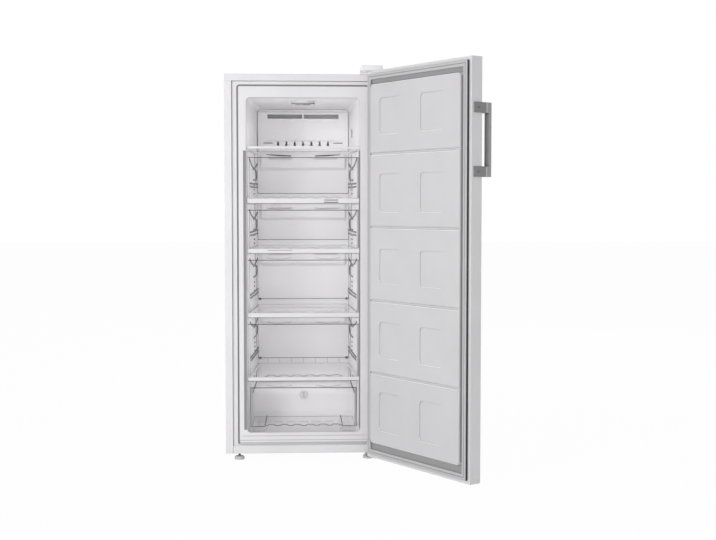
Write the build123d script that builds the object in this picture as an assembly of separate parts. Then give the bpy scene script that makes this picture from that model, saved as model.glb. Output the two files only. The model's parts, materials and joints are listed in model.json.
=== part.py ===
"""Upright freezer with its door open: one STEP file per piece, in millimetres.

+Z is up and the door is at -Y. The origin is on the floor, at the centre of the cabinet's footprint.
"""

from build123d import *
import os

os.makedirs("parts", exist_ok=True)

# ---- driving sizes, in mm ----
# Cabinet shell
cab_width = 600.0
cab_depth = 590.0
body_top = 1486.0
sheet = 1.0  # painted steel sheet
top_cover_height = 26.0
top_cover_wall = 1.5
top_edge_round = 2.0
flange_width = 27.5  # painted strip on the front edge of each side panel
rear_flange = 16.0
rear_recess = 26.0  # rear panel set in from the back edges of the sides
trim_height = 30.0  # front bottom trim
trim_depth = 14.0
trim_wall = 2.0
trim_edge_round = 1.5

# Liner frame and cavity
frame_recess = 8.0  # liner face behind the painted strips
frame_gap = 1.0  # between a strip and the liner frame
frame_band_side = 18.0
frame_band_top = 12.5
frame_band_bottom = 2.0
seam_width = 6.5
seam_depth = 7.0
seam_width_bottom = 10.0
seam_corner_outer = 12.0
seam_corner_inner = 6.0
border_side = 29.0
border_top = 42.0
border_bottom = 37.0
liner_wall = 2.5
rear_insulation = 40.5  # between the liner's rear wall and the rear panel
cavity_rear_narrowing = 29.0  # each side, from the mouth to the rear wall
cavity_rear_drop = 9.0  # ceiling, from the mouth to the rear wall
cavity_corner = 16.0
hump_front = 240.0  # compressor hump, from the front plane
hump_round = 22.0
part_gap = 0.5  # between trays and panels that meet inside the cavity

# Compressor bay
bay_wall = 45.0  # insulation between the hump and the bay
base_sheet = 2.0
boss_height = 12.0  # threaded bosses for the feet
boss_wall = 5.0
bay_sheet = 1.2

# Shelves: underside of each trim above the cavity's floor, and trim heights
shelf_rises = [1095.0, 886.0, 694.0, 446.0, 200.0]
shelf_rise_span = 1289.0  # cavity height that the rises belong to; shelves spread with the cavity
trim_heights = [9.0, 18.0, 17.0, 17.0, 14.0]
trim_thickness = 9.0
trim_front = 17.0  # trim face from the front plane
glass_thickness = 4.0
shelf_rear_gap = 36.0  # for the air's way round the shelf, to the cover at the back
shelf_side_gap = 1.5
ledge_width = 9.0
ledge_height = 6.0
ledge_front = 34.0
shelf_trim_round = 1.2

# Drawers
drawer_wall = 2.5
drawer_front = 24.0  # drawer face from the front plane
drawer_rear_space = 29.0  # to the hoods at the back
bottom_drawer_rear_gap = 3.0  # to the hump
drawer_top_gaps = [10.0, 3.0, 3.0, 3.0, 3.0]  # under the trim above
drawer_seat_gap = 0.5  # over the shelf
drawer_side_gap = 3.0  # front panel to the cavity wall
bottom_drawer_inset = 9.0  # the bottom drawer's front is narrower by this at each side
drawer_box_inset = 7.0  # box sides inside the front panel
drawer_rear_gap = 6.0  # box sides to the cavity wall at the rear
drawer_rear_height = 24.0
drawer_step_from_rear = 160.0  # where the sides step down
drawer_step_height = 62.0
lip_height = 24.0
lip_reach = 8.0
lip_wall = 2.0
grip_length = 96.0
grip_centre = 96.0
grip_below_top = 13.0
grip_height = 8.0
rib_count = 6
rib_pitch = 50.0
rib_width = 26.0
rib_height = 3.0
rib_land = 0.5  # upright part of a rib's side, under its chamfer
rear_wall_run = 10.0  # level run of a drawer's side before its low rear wall
skid_height = 21.0
skid_width = 46.0
skid_from_side = 12.0  # skid's outer side inside the box's side

# Back of the cavity
evaporator_space = 50.0  # between the cover's face and the liner's rear wall
cover_wall = 2.5
cover_side_gap = 1.0
slot_height = 17.0
slot_length = 298.0
slot_divider = 8.0
slot_drop = 21.5  # slot's top edge below the ceiling
return_count = 7
return_pitch = 35.0
return_rise = 25.0  # above the first shelf's trim
return_height = 19.0
return_width = 11.0
return_ledge_inset = 29.0  # from the cover's sides
return_ledge_depth = 3.0
return_ledge_height = 2.0
return_tip_width = 3.0
hood_inset = 15.0  # from the panel's sides
hood_drop = 70.0  # lower edge of each hood below its shelf
hood_reach = 12.0
hood_round = 12.0
outlet_length = 96.0
outlet_height = 7.0
outlet_drop = 17.0
outlet_skin = 2.0  # left behind an outlet

# Ceiling lamp, wall sensor and hump plug
lamp_width = 92.0
lamp_depth = 70.0
lamp_drop = 17.0
lamp_from_front = 100.0
lens_width = 62.0
lens_depth = 43.0
lens_thickness = 2.5
sensor_from_front = 292.0
sensor_rise = 66.0  # above the first shelf's trim
sensor_height = 36.0
sensor_width = 16.0
sensor_depth = 5.0
sensor_round = 1.5
sensor_slot = 3.0
plug_radius = 17.0
plug_depth = 4.0
plug_ring = 3.0  # width of the plug's rim, of its groove and of its slot
plug_drop = 19.0  # plug centre below the hump's top

# Door
door_open_deg = 123.0
door_thickness = 48.0
gasket_gap = 12.0  # door border to the cabinet's front plane
door_overhang = 6.0  # beyond the cabinet at top and bottom
door_sheet = 1.0
door_edge_round = 3.0
door_border = 12.0
end_cap_height = 12.0
axis_from_side = 21.0
axis_from_front = 40.0
gasket_width = 22.0
gasket_clearance = 1.5
gasket_lip = 4.0
pan_margin_side = 38.0
pan_margin_top = 50.0
pan_margin_bottom = 58.0
pan_rise = 16.0  # raised liner above the door border
pan_flank = 4.0
pan_corner = 12.0
pan_skin = 9.0
door_liner_wall = 2.5
door_pattern_height = 1468.0  # door height that the rises below belong to; the pattern spreads with it
groove_rises = [1155.0, 880.5, 604.0, 329.0]  # above the door's bottom
groove_width = 9.0
groove_floor = 3.0
groove_depth = 5.0
pad_rises = [1360.0, 1078.0, 799.0, 525.0, 260.0]  # top edges
pad_heights = [134.0, 140.0, 127.0, 132.0, 145.0]
pad_width = 140.0
pad_deep_edges = [201.0, -41.0]
pad_depth = 3.0
pad_round = 9.0

# Handle
handle_length = 254.0
handle_top_drop = 155.0  # below the door's top
bracket_height = 36.0
bracket_plate = 4.0
bracket_inset = 8.0  # from the door's inner border plane
handle_stand_off = 39.0  # bar's outer face beyond the door's outer face
bar_width = 26.0
bar_thickness = 10.0
bar_end_depth = 22.0
bar_groove = 3.0
screw_radius = 3.0
screw_head_radius = 4.2
screw_head_height = 1.6
handle_edge_round = 2.0

# Hinges
pin_radius = 4.0
pin_end_gap = 4.0  # a pin stops this far before the end of its bush
pin_clearance = 0.06
bush_wall = 3.0
bush_depth = 20.0
bush_flange = 3.0  # height of the flange, and its width round the bush
hinge_plate = 3.0
hinge_width = 62.0
hinge_reach_back = 62.0
hinge_cover_width = 80.0
hinge_cover_height = 27.0
hinge_cover_wall = 2.0
hinge_seat_gap = 0.4
hinge_nose = 16.0
hinge_from_side = 1.0
hinge_seat_depth = 38.0
lower_seat_from_front = 6.0
hinge_screw_radius = 2.5
hinge_screw_head = 4.6
hinge_screw_head_height = 3.0
hinge_screw_spread = 18.0
hinge_screw_insets = [10.0, 26.0]  # of the pair and the single one
hinge_cover_round = 4.0
hinge_cover_behind = 8.0  # reach behind the hinge's plate
corner_sink = 0.5  # the top is sunk by this where the hinge and its cover stand
corner_gap = 1.0  # round the hinge cover
nose_cover_gap = 1.0
door_cover_gap = 1.5

# Feet and rollers
foot_from_side = 50.0
foot_from_front = 45.0
foot_radius = 19.0
foot_height = 13.0
foot_chamfer = 4.0
stud_sink = 1.0  # overlap of the stud with its pad, and its end below the boss's top
stud_radius = 4.0
stud_clearance = 0.05
roller_from_back = 45.0
roller_radius = 13.5
roller_headroom = 3.0  # between the rollers and the cabinet
roller_width = 22.0
axle_radius = 3.0
axle_clearance = 0.05
bracket_ear = 2.0
ear_drop = 7.5  # below the axle's middle
axle_head = 1.5
ear_gap = 1.0
roller_chamfer = 0.8

# Cooling parts
fin_count = 26
fin_thickness = 0.8
fin_side_space = 41.0  # room for the coil's turns at each side
fin_height = 150.0
fin_depth = 34.0
coil_radius = 4.0
coil_rows = 5
coil_drop = 438.0  # underside of the fins below the cavity's mouth
coil_side_gap = 5.0
trough_overhang = 10.0  # beyond the fins at each end
trough_gap = 2.0  # to the liner's rear wall
drain_radius = 7.0
trough_drop = 45.0  # trough's floor below the fins
drain_stub = 12.0
trough_depth = 16.0
trough_wall = 1.5
heater_radius = 4.0
heater_drop = 16.0  # below the fins
heater_boot_length = 20.0
heater_boot_wall = 2.0
fan_rise = 65.0  # fan's axis above the fins
fan_setback = 14.0  # shroud's plate behind the cover's face
fan_depth = 16.0
fan_hub_inset = 1.5
fan_hub_radius = 15.0
fan_chord = 20.0
fan_pitch_deg = 33.0
fan_sheet = 1.5
fan_root = 1.0  # overlap of a blade with the hub
shroud_wall = 2.0
shroud_margin = 11.0
arm_count = 3
arm_width = 8.0
fan_radius = 46.0
fan_tip_gap = 3.0
fan_blades = 5
motor_radius = 17.0
motor_length = 14.0
fan_shaft_radius = 2.0
shaft_hole_gap = 1.0
shaft_clearance = 0.05
compressor_radius = 72.0
compressor_height = 122.0
compressor_round = 24.0
compressor_x = -95.0
compressor_bay_gap = 60.0
foot_plate_wing = 14.0
foot_plate_inset = 10.0
foot_plate = 3.0
grommet_neck = 6.0
grommet_collar = 4.0
grommet_wing = 2.0
grommet_inset = 22.0
relay_size = 48.0
relay_sink = 12.0
relay_reach = 26.0
tray_reach = 80.0
tray_height = 15.0
tray_headroom = 9.8  # under the bay's roof
grommet_height = 12.0
condenser_rows = 12
condenser_tube_radius = 2.4
condenser_gap = 13.0
condenser_margin = 62.0
strap_count = 4
strap_width = 12.0
strap_pitch = 106.0
strap_overhang = 20.0
turn_share = 0.45  # of the rows' pitch, for the turns' radius
pipe_bend = 12.0
drier_x = 150.0
drier_radius = 9.0
drier_length = 80.0
drier_from_bay = 40.0
drier_level = 30.0
drier_end_share = 0.6
pipe_clearance = 14.0  # of the discharge pipe beside the condenser
pipe_sink = 4.0
suction_rise = 20.0
suction_reach = 30.0
pipe_radius = 3.0
gland_radius = 8.0
gland_flange = 4.0
gland_flange_depth = 5.0
gland_length = 8.0
gland_from_side = 70.0
gland_above_bay = 28.0
cord_radius = 3.6

# ---- places worked out from the sizes ----
half = cab_width / 2
front = -cab_depth / 2
back = cab_depth / 2
body_bottom = 2 * roller_radius + roller_headroom
cover_underside = body_top - top_cover_height
trim_top = body_bottom + trim_height
frame_half = half - flange_width - frame_gap
frame_top = cover_underside - frame_gap
frame_bottom = trim_top
seam_outer_half = half - flange_width - frame_band_side - frame_gap
seam_inner_half = seam_outer_half - seam_width
seam_outer_top = frame_top - frame_band_top
seam_inner_top = seam_outer_top - seam_width
seam_outer_bottom = frame_bottom + frame_band_bottom
seam_inner_bottom = seam_outer_bottom + seam_width_bottom
mouth_half = seam_inner_half - border_side
mouth_top = seam_inner_top - border_top
mouth_bottom = seam_inner_bottom + border_bottom
floor_top = mouth_bottom
rear_panel_y = back - rear_recess
hinge_corner = body_top - corner_sink
bay_front = front + hump_front + bay_wall
compressor_foot = body_bottom + base_sheet + grommet_height
tray_bottom = compressor_foot + foot_plate + compressor_height
bay_top = tray_bottom + tray_height + tray_headroom + bay_sheet
hump_top = bay_top + bay_wall
cavity_depth = cab_depth - rear_recess - sheet - rear_insulation - liner_wall
cover_plane = cavity_depth - evaporator_space
shelf_rear = cover_plane - shelf_rear_gap
drawer_depth = cover_plane - hood_reach - drawer_rear_space - drawer_front
bottom_drawer_depth = hump_front - bottom_drawer_rear_gap - drawer_front
shelf_spread = (mouth_top - floor_top) / shelf_rise_span
shelf_levels = [floor_top + rise * shelf_spread for rise in shelf_rises]
first_shelf_top = shelf_levels[0] + trim_heights[0]
coil_level = mouth_top - coil_drop
drain_top = coil_level - trough_drop
fan_level = coil_level + fin_height + fan_rise
fan_plane = cover_plane + fan_setback
door_top = body_top + door_overhang
door_bottom = body_bottom - door_overhang
door_inner = front - gasket_gap
door_outer = door_inner - door_thickness
axis_x = half - axis_from_side
axis_y = front - axis_from_front


def at(depth):
    """The y of a plane this far behind the cabinet's front plane."""
    return front + depth


def block(x0, x1, y0, y1, z0, z1):
    """A box between two corners."""
    centre = ((x0 + x1) / 2, (y0 + y1) / 2, (z0 + z1) / 2)
    return Pos(*centre) * Box(abs(x1 - x0), abs(y1 - y0), abs(z1 - z0))


def rod(start, end, radius):
    """A round bar between two points."""
    start, end = Vector(*start), Vector(*end)
    along = end - start
    middle = (start + end) * 0.5
    return Plane(origin=middle, z_dir=along) * Cylinder(radius, along.length)


def prism(points, z0, z1):
    """An outline in plan, raised from z0 to z1."""
    face = make_face(Polyline(*[(x, y) for x, y in points], close=True))
    return Pos(0, 0, z0) * extrude(face, z1 - z0)


def side_prism(points, x0, x1):
    """An outline in (y, z), pushed from x0 to x1."""
    plane = Plane(origin=(x0, 0, 0), x_dir=(0, 1, 0), z_dir=(1, 0, 0))
    return extrude(plane * make_face(Polyline(*points, close=True)), x1 - x0)


def front_rectangle(width, z0, z1, y, radius):
    """A rounded rectangle standing in the plane y."""
    plane = Plane(origin=(0, y, (z0 + z1) / 2), x_dir=(1, 0, 0), z_dir=(0, -1, 0))
    return plane * RectangleRounded(width, z1 - z0, radius)


def frame_slab(outer, y0, y1, radius):
    """A rounded slab; outer is (half width, low z, high z)."""
    half_width, z0, z1 = outer
    return extrude(front_rectangle(2 * half_width, z0, z1, y1, radius), y1 - y0)


def mirrored(shape):
    return mirror(shape, about=Plane.YZ)


def both_sides(shape):
    return [shape, mirrored(shape)]


def union(shapes):
    shapes = list(shapes)
    return shapes[0] + shapes[1:] if len(shapes) > 1 else shapes[0]


def save(name, *shapes):
    """Writes one node; several shapes stay separate solids."""
    solids = [solid for shape in shapes for solid in shape.solids()]
    whole = Compound(children=solids) if len(solids) > 1 else solids[0]
    export_step(whole, f"parts/{name}.step")


def on_door(shape):
    """Swings a piece drawn with the door shut to where the open door has it."""
    return Pos(axis_x, axis_y, 0) * Rot(0, 0, door_open_deg) * Pos(-axis_x, -axis_y, 0) * shape


# ---- cavity shape ----
def cavity_half(depth):
    """Half the cavity's width this far behind the front plane."""
    share = (depth - frame_recess) / (cavity_depth - frame_recess)
    return mouth_half - cavity_rear_narrowing * share


def cavity_ceiling(depth):
    share = (depth - frame_recess) / (cavity_depth - frame_recess)
    return mouth_top - cavity_rear_drop * share


def cover_half():
    """Half the width of the cover and the panel at the back of the cavity."""
    return cavity_half(cover_plane) - cover_side_gap


def fin_half():
    return cover_half() - fin_side_space


def tub(start, end, grow):
    """The cavity's tapering block between two depths, grown on every side."""
    sections = [
        front_rectangle(
            2 * (cavity_half(depth) + grow),
            floor_top - grow,
            cavity_ceiling(depth) + grow,
            at(depth),
            cavity_corner + grow,
        )
        for depth in (start, end)
    ]
    return loft(sections)


def hump(grow):
    """The block that the compressor bay takes out of the cavity, shrunk by grow."""
    y0 = at(hump_front) + grow
    shape = block(-half, half, y0, back, 0, hump_top - grow)
    edge = shape.edges().filter_by(Axis.X).group_by(Axis.Z)[-1].sort_by(Axis.Y)[0]
    return fillet(edge, hump_round - grow)


# ---- cabinet shell ----
def side_panel():
    """Right panel: sheet with a folded front strip, its return, and a rear fold."""
    z0, z1 = body_bottom, cover_underside
    inner = half - sheet
    sheet_piece = block(inner, half, front, back, z0, z1)
    strip = block(half - flange_width, half, front, front + sheet, z0, z1)
    fold = half - flange_width
    return_lip = block(fold, fold + sheet, front, front + frame_recess, z0, z1)
    rear_fold = block(half - rear_flange, half, back - sheet, back, z0, z1)
    return union([sheet_piece, strip, return_lip, rear_fold])


def top_cover():
    """Shallow tray, open below, with softened upper edges and a sunk corner for the hinge."""
    outer = block(-half, half, front, back, cover_underside, body_top)
    outer = fillet(outer.edges().group_by(Axis.Z)[-1], top_edge_round)
    wall = top_cover_wall
    inner = block(
        -half + wall, half - wall, front + wall, back - wall, cover_underside, body_top - wall
    )
    x0 = half - hinge_cover_width - corner_gap
    corner = block(x0, half, front, hinge_cover_back() + corner_gap, hinge_corner, body_top)
    return outer - inner - corner


def hinge_cover_back():
    return at(hinge_reach_back + hinge_cover_behind)


def bottom_trim():
    """Channel across the front under the liner."""
    x = half - flange_width - frame_gap
    outer = block(-x, x, front, front + trim_depth, body_bottom, trim_top)
    outer = fillet(outer.edges().filter_by(Axis.X).group_by(Axis.Y)[0], trim_edge_round)
    inner = block(
        -x + trim_wall,
        x - trim_wall,
        front + trim_wall,
        front + trim_depth,
        body_bottom + base_sheet,
        trim_top - trim_wall,
    )
    return outer - inner


def rear_panel():
    """Sheet with side folds, above the compressor bay."""
    x = half - sheet
    plate = block(-x, x, rear_panel_y - sheet, rear_panel_y, bay_top, cover_underside)
    fold = block(x - sheet, x, rear_panel_y, rear_panel_y + rear_flange, bay_top, cover_underside)
    return union([plate, *both_sides(fold)]) - gland_hole()


def stud_place(side):
    return side * (half - foot_from_side), at(foot_from_front)


def roller_place(side):
    return side * (half - foot_from_side), back - roller_from_back


def base_plate():
    """Floor sheet with foot bosses, and two ears with a riveted axle for each rear roller."""
    x = half - sheet
    z0, z1 = body_bottom, body_bottom + base_sheet
    plate = block(-x, x, front + trim_depth, back - sheet, z0, z1)
    for side in (-1, 1):
        px, py = stud_place(side)
        plate -= Pos(px, py, body_bottom) * Cylinder(stud_radius + stud_clearance, 4 * base_sheet)
        plate += boss_ring(px, py)
        rx, ry = roller_place(side)
        for ear_side in (-1, 1):
            x0 = rx + ear_side * (roller_width / 2 + ear_gap)
            x1 = x0 + ear_side * bracket_ear
            ear = block(x0, x1, ry - roller_radius, ry + roller_radius, roller_radius - ear_drop, z0)
            plate += ear
        reach = roller_width / 2 + ear_gap + bracket_ear + axle_head
        plate += rod((rx - reach, ry, roller_radius), (rx + reach, ry, roller_radius), axle_radius)
    return plate


def boss_ring(x, y):
    """Threaded boss on the base plate round a foot's stud."""
    ring = Cylinder(stud_radius + boss_wall, boss_height)
    ring -= Cylinder(stud_radius + stud_clearance, boss_height)
    return Pos(x, y, body_bottom + base_sheet + boss_height / 2) * ring


def bay_panel():
    """Folded sheet over and in front of the compressor bay."""
    x = half - sheet
    z0 = body_bottom + base_sheet
    wall = block(-x, x, bay_front - bay_sheet, bay_front, z0, bay_top)
    roof = block(-x, x, bay_front - bay_sheet, rear_panel_y, bay_top - bay_sheet, bay_top)
    return wall + roof - drain_hole()


def seam_ring():
    """The dark seam round the liner's frame."""
    y0, y1 = at(frame_recess), at(frame_recess + seam_depth)
    outline = (seam_outer_half, seam_outer_bottom, seam_outer_top)
    outer = frame_slab(outline, y0, y1, seam_corner_outer)
    outline = (seam_inner_half, seam_inner_bottom, seam_inner_top)
    inner = frame_slab(outline, y0, y1, seam_corner_inner)
    return outer - inner


def ledges():
    """Shelf ledges along both walls of the cavity."""
    y0, y1 = at(ledge_front), at(shelf_rear)
    slabs = []
    for level, height in zip(shelf_levels, trim_heights):
        top = glass_under(level, height)
        slabs.append(block(-half, half, y0, y1, top - ledge_height, top))
    wall_zone = tub(frame_recess, cavity_depth, liner_wall / 2) - tub_core()
    return union(slabs) & wall_zone


def tub_core():
    """The cavity less the ledges' width at each side."""
    depths = (0, cavity_depth + frame_recess)
    y0, y1 = at(depths[0]), at(depths[1])
    a, b = (cavity_half(depth) - ledge_width for depth in depths)
    return prism([(-a, y0), (a, y0), (b, y1), (-b, y1)], 0, body_top)


def glass_under(level, height):
    """Underside of a shelf's glass, whose top is flush with its trim."""
    return level + height - glass_thickness


def inner_liner():
    """Frame, tub, compressor hump and shelf ledges in one moulding."""
    y0, y1 = at(frame_recess), at(frame_recess + seam_depth + liner_wall)
    shape = block(-frame_half, frame_half, y0, y1, frame_bottom, frame_top)
    shape += tub(frame_recess, cavity_depth + liner_wall, liner_wall) - hump(liner_wall)
    shape -= tub(frame_recess, cavity_depth, 0) - hump(0)
    shape -= seam_ring()
    return shape + ledges() - drain_hole()


def foam_body():
    """Insulation between the liner and the outer panels."""
    x = half - sheet
    y0 = at(frame_recess + seam_depth + liner_wall)
    z0 = body_bottom + base_sheet + boss_height
    foam = block(-x, x, y0, rear_panel_y - sheet, z0, cover_underside)
    cap = block(
        -half + top_cover_wall,
        half - top_cover_wall,
        front + top_cover_wall,
        back - top_cover_wall,
        cover_underside,
        body_top - top_cover_wall,
    )
    foam += cap
    foam -= tub(frame_recess, cavity_depth + liner_wall, liner_wall) - hump(liner_wall)
    foam -= block(-half, half, bay_front - bay_sheet, back, 0, bay_top)
    return foam - drain_hole()


# ---- shelves and drawers ----
def shelf_glass(level, height):
    """Tapered glass plate that rests on the ledges and in its trim."""
    z0 = glass_under(level, height)
    depths = (trim_front + trim_thickness / 2, shelf_rear)
    a, b = (cavity_half(depth) - shelf_side_gap for depth in depths)
    y0, y1 = (at(depth) for depth in depths)
    return prism([(-a, y0), (a, y0), (b, y1), (-b, y1)], z0, z0 + glass_thickness)


def shelf_trim(level, height):
    """Front strip with a rebate for the glass."""
    x = cavity_half(trim_front) - shelf_side_gap
    strip = block(-x, x, at(trim_front), at(trim_front + trim_thickness), level, level + height)
    strip = fillet(strip.edges().filter_by(Axis.X).group_by(Axis.Y)[0], shelf_trim_round)
    rebate_y = at(trim_front + trim_thickness / 2)
    z0 = glass_under(level, height)
    return strip - block(-x, x, rebate_y, at(trim_front + trim_thickness), z0, z0 + glass_thickness)


def drawer_plan(front_half, rear_half, y0, y1, inset, z0, z1):
    """The tapered box of a drawer, shrunk by inset on its four sides."""
    a, b = front_half - inset, rear_half - inset
    return prism([(-a, y0 + inset), (a, y0 + inset), (b, y1 - inset), (-b, y1 - inset)], z0, z1)


def drawer_front_half(inset):
    """Half the width of a drawer's front panel."""
    return cavity_half(drawer_front) - drawer_side_gap - inset


def drawer_halves(depth, inset):
    """Half the width of a drawer's box at its front and at its rear."""
    box_half = drawer_front_half(inset) - drawer_box_inset
    return box_half, min(cavity_half(drawer_front + depth) - drawer_rear_gap, box_half)


def drawer(z0, z1, depth, inset):
    """Clear drawer: front panel with a hooked lip, box, stepped sides and ribbed bottom."""
    wall = drawer_wall
    y0 = at(drawer_front)
    y1 = y0 + depth
    front_half = drawer_front_half(inset)
    box_half, rear_half = drawer_halves(depth, inset)
    box = drawer_plan(box_half, rear_half, y0, y1, 0, z0, z1)
    box -= drawer_plan(box_half, rear_half, y0, y1, wall, z0 + wall, z1)
    step_y = y1 - min(drawer_step_from_rear, depth / 2)
    step_z, rear_z = z0 + drawer_step_height, z0 + drawer_rear_height
    slope = (z1 - step_z) / 2
    box -= side_prism(
        [
            (step_y, z1),
            (step_y + slope, step_z),
            (y1 - rear_wall_run - (step_z - rear_z), step_z),
            (y1 - rear_wall_run, rear_z),
            (y1, rear_z),
            (y1, z1),
        ],
        -half,
        half,
    )
    panel = block(-front_half, front_half, y0, y0 + wall, z0, z1)
    lip = block(-front_half, front_half, y0 - lip_reach, y0, z1 - lip_height, z1)
    lip -= block(-half, half, y0 - lip_reach + lip_wall, y0, 0, z1 - lip_wall)
    shape = box + panel + lip
    for side in (-1, 1):
        shape -= grip(side, y0, z1)
    for index in range(rib_count):
        x0 = (index - (rib_count - 1) / 2) * rib_pitch - rib_width / 2
        floor_z = z0 + wall
        rib = block(x0, x0 + rib_width, y0 + wall, y1 - wall, floor_z, floor_z + rib_height)
        shape += chamfer(rib.edges().filter_by(Axis.Y).group_by(Axis.Z)[-1], rib_height - rib_land)
    return shape


def grip(side, y0, z1):
    """Opening in a drawer's lip that deepens towards the middle of the drawer."""
    inner, outer = grip_centre - grip_length / 2, grip_centre + grip_length / 2
    top = z1 - grip_below_top
    outline = Polyline(
        (side * outer, top),
        (side * inner, top),
        (side * inner, top - grip_height),
        (side * grip_centre, top - grip_height),
        (side * outer, top - grip_height / 4),
        close=True,
    )
    plane = Plane(origin=(0, y0 - lip_reach, 0), x_dir=(1, 0, 0), z_dir=(0, -1, 0))
    return extrude(plane * make_face(outline), -lip_wall)


def drawers():
    """The five drawers, top to bottom."""
    shapes = []
    seats = [level + height for level, height in zip(shelf_levels, trim_heights)][1:]
    for index, seat in enumerate(seats):
        top = shelf_levels[index] - drawer_top_gaps[index]
        shapes.append(drawer(seat + drawer_seat_gap, top, drawer_depth, 0))
    return shapes + [bottom_drawer()]


def bottom_drawer():
    """The short drawer in front of the hump, on two hollow skids."""
    top = shelf_levels[-1] - drawer_top_gaps[-1]
    skid_bottom = floor_top + drawer_seat_gap
    bottom = skid_bottom + skid_height
    shape = drawer(bottom, top, bottom_drawer_depth, bottom_drawer_inset)
    y0 = at(drawer_front)
    y1 = y0 + bottom_drawer_depth
    wall = drawer_wall
    _, rear_half = drawer_halves(bottom_drawer_depth, bottom_drawer_inset)
    x1 = rear_half - skid_from_side
    x0 = x1 - skid_width
    skid = block(x0, x1, y0, y1, skid_bottom, bottom)
    skid -= block(x0 + wall, x1 - wall, y0 + wall, y1 - wall, skid_bottom + wall, bottom)
    return union([shape, *both_sides(skid)])


# ---- back of the cavity ----
def cover_shell():
    """The tray that closes off the evaporator space, over the whole back of the cavity."""
    gap, wall = cover_side_gap, cover_wall
    shell = tub(cover_plane, cavity_depth - part_gap, -gap)
    return shell - tub(cover_plane + wall, cavity_depth, -gap - wall)


def evaporator_cover():
    """Cover in the top compartment, with the air slot and the row of return openings."""
    cover = cover_shell() & block(-half, half, front, back, first_shelf_top, body_top)
    y0, y1 = at(cover_plane), at(cover_plane + cover_wall)
    slot_bottom = cavity_ceiling(cover_plane) - slot_drop - slot_height
    slot = block(slot_divider / 2, slot_length / 2, y0, y1, slot_bottom, slot_bottom + slot_height)
    cover -= both_sides(slot)
    return_level = first_shelf_top + return_rise
    ledge_x = cover_half() - return_ledge_inset
    ledge_z = return_level + return_height
    cover += block(-ledge_x, ledge_x, y0 - return_ledge_depth, y0, ledge_z, ledge_z + return_ledge_height)
    for index in range(return_count):
        x = (index - (return_count - 1) / 2) * return_pitch
        plane = Plane(origin=(x, y0, return_level), x_dir=(1, 0, 0), z_dir=(0, -1, 0))
        outline = Polyline(
            (-return_width / 2, 0),
            (return_width / 2, 0),
            (return_tip_width / 2, return_height),
            (-return_tip_width / 2, return_height),
            close=True,
        )
        cover -= extrude(plane * make_face(outline), -cover_wall)
    return cover


def duct_panel():
    """Panel below the first shelf with a hood and two air slots under each shelf."""
    zone = block(-half, half, front, back, hump_top + part_gap, first_shelf_top - part_gap)
    panel = cover_shell() & zone
    y0 = at(cover_plane)
    hood_half = cover_half() - hood_inset
    for level in shelf_levels[:-1]:
        low = level - hood_drop
        hood = side_prism(
            [(y0, level), (y0 - hood_reach, level), (y0 - hood_reach, low + hood_reach), (y0, low)],
            -hood_half,
            hood_half,
        )
        top = level - outlet_drop
        for side in (-1, 1):
            x0 = side * grip_centre - outlet_length / 2
            x1 = x0 + outlet_length
            hood -= block(x0, x1, y0 - hood_reach, y0 - outlet_skin, top - outlet_height, top)
        panel += hood
    return panel


def lamp_outline(width, depth, z0, z1):
    """A lens-shaped outline in plan."""
    middle = at(lamp_from_front + lamp_depth / 2)
    sagitta = depth / 2
    edge = ThreePointArc((-width / 2, middle), (0, middle - sagitta), (width / 2, middle))
    rest = ThreePointArc((width / 2, middle), (0, middle + sagitta), (-width / 2, middle))
    return Pos(0, 0, z0) * extrude(make_face([edge, rest]), z1 - z0)


def lamp_housing():
    """Oval housing under the ceiling, cut to the ceiling's slope, with an opening for the lens."""
    z0 = cavity_ceiling(lamp_from_front) - lamp_drop
    housing = lamp_outline(lamp_width, lamp_depth, z0 + lens_thickness, mouth_top)
    housing -= lamp_outline(lens_width, lens_depth, z0, z0 + lamp_drop / 2)
    return housing & tub(frame_recess, cavity_depth, 0)


def lamp_lens():
    """Domed lens in the housing's opening."""
    z0 = cavity_ceiling(lamp_from_front) - lamp_drop
    lens = lamp_outline(lens_width, lens_depth, z0, z0 + lamp_drop / 2)
    return fillet(lens.edges().group_by(Axis.Z)[0], lens_thickness)


def sensor_cover():
    """Small vented cover on the right wall."""
    x = cavity_half(sensor_from_front) - sensor_depth
    y0 = at(sensor_from_front) - sensor_width / 2
    sensor_level = first_shelf_top + sensor_rise
    z0, z1 = sensor_level - sensor_height / 2, sensor_level + sensor_height / 2
    cover = block(x, half, y0, y0 + sensor_width, z0, z1)
    cover = fillet(cover.edges().group_by(Axis.X)[0], sensor_round)
    for step in (-1, 0, 1):
        z = sensor_level + step * sensor_height / 4 - sensor_slot / 2
        y1 = y0 + sensor_width / 4
        cover -= block(x, x + sensor_depth / 2, y1, y1 + sensor_width / 2, z, z + sensor_slot)
    return cover & tub(frame_recess, cavity_depth, 0)


def hump_plug():
    """Round slotted plug on the front of the compressor hump."""
    y1 = at(hump_front)
    z = hump_top - plug_drop
    y0, middle = y1 - plug_depth, y1 - plug_depth / 2
    plug = rod((0, y0, z), (0, y1, z), plug_radius)
    ring = rod((0, y0, z), (0, middle, z), plug_radius - plug_ring)
    core = rod((0, y0, z), (0, middle, z), plug_radius - 2 * plug_ring)
    slot = block(-plug_radius, plug_radius, y0, middle, z - plug_ring / 2, z + plug_ring / 2)
    return plug - (ring - core) - slot


# ---- cooling parts ----
def coil_path_level(row):
    return coil_level + (row + 0.5) * fin_height / coil_rows


def evaporator_coil():
    """One tube in flat turns through the fins."""
    y = drain_centre()
    x = fin_half() + 2 * coil_radius
    passes = []
    for row in range(coil_rows):
        level = coil_path_level(row)
        passes.append(rod((-x, y, level), (x, y, level), coil_radius))
    for row in range(coil_rows - 1):
        side = 1 if row % 2 == 0 else -1
        lower, upper = coil_path_level(row), coil_path_level(row + 1)
        passes.append(return_bend(side, x, y, lower, upper))
    return union(passes)


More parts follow.
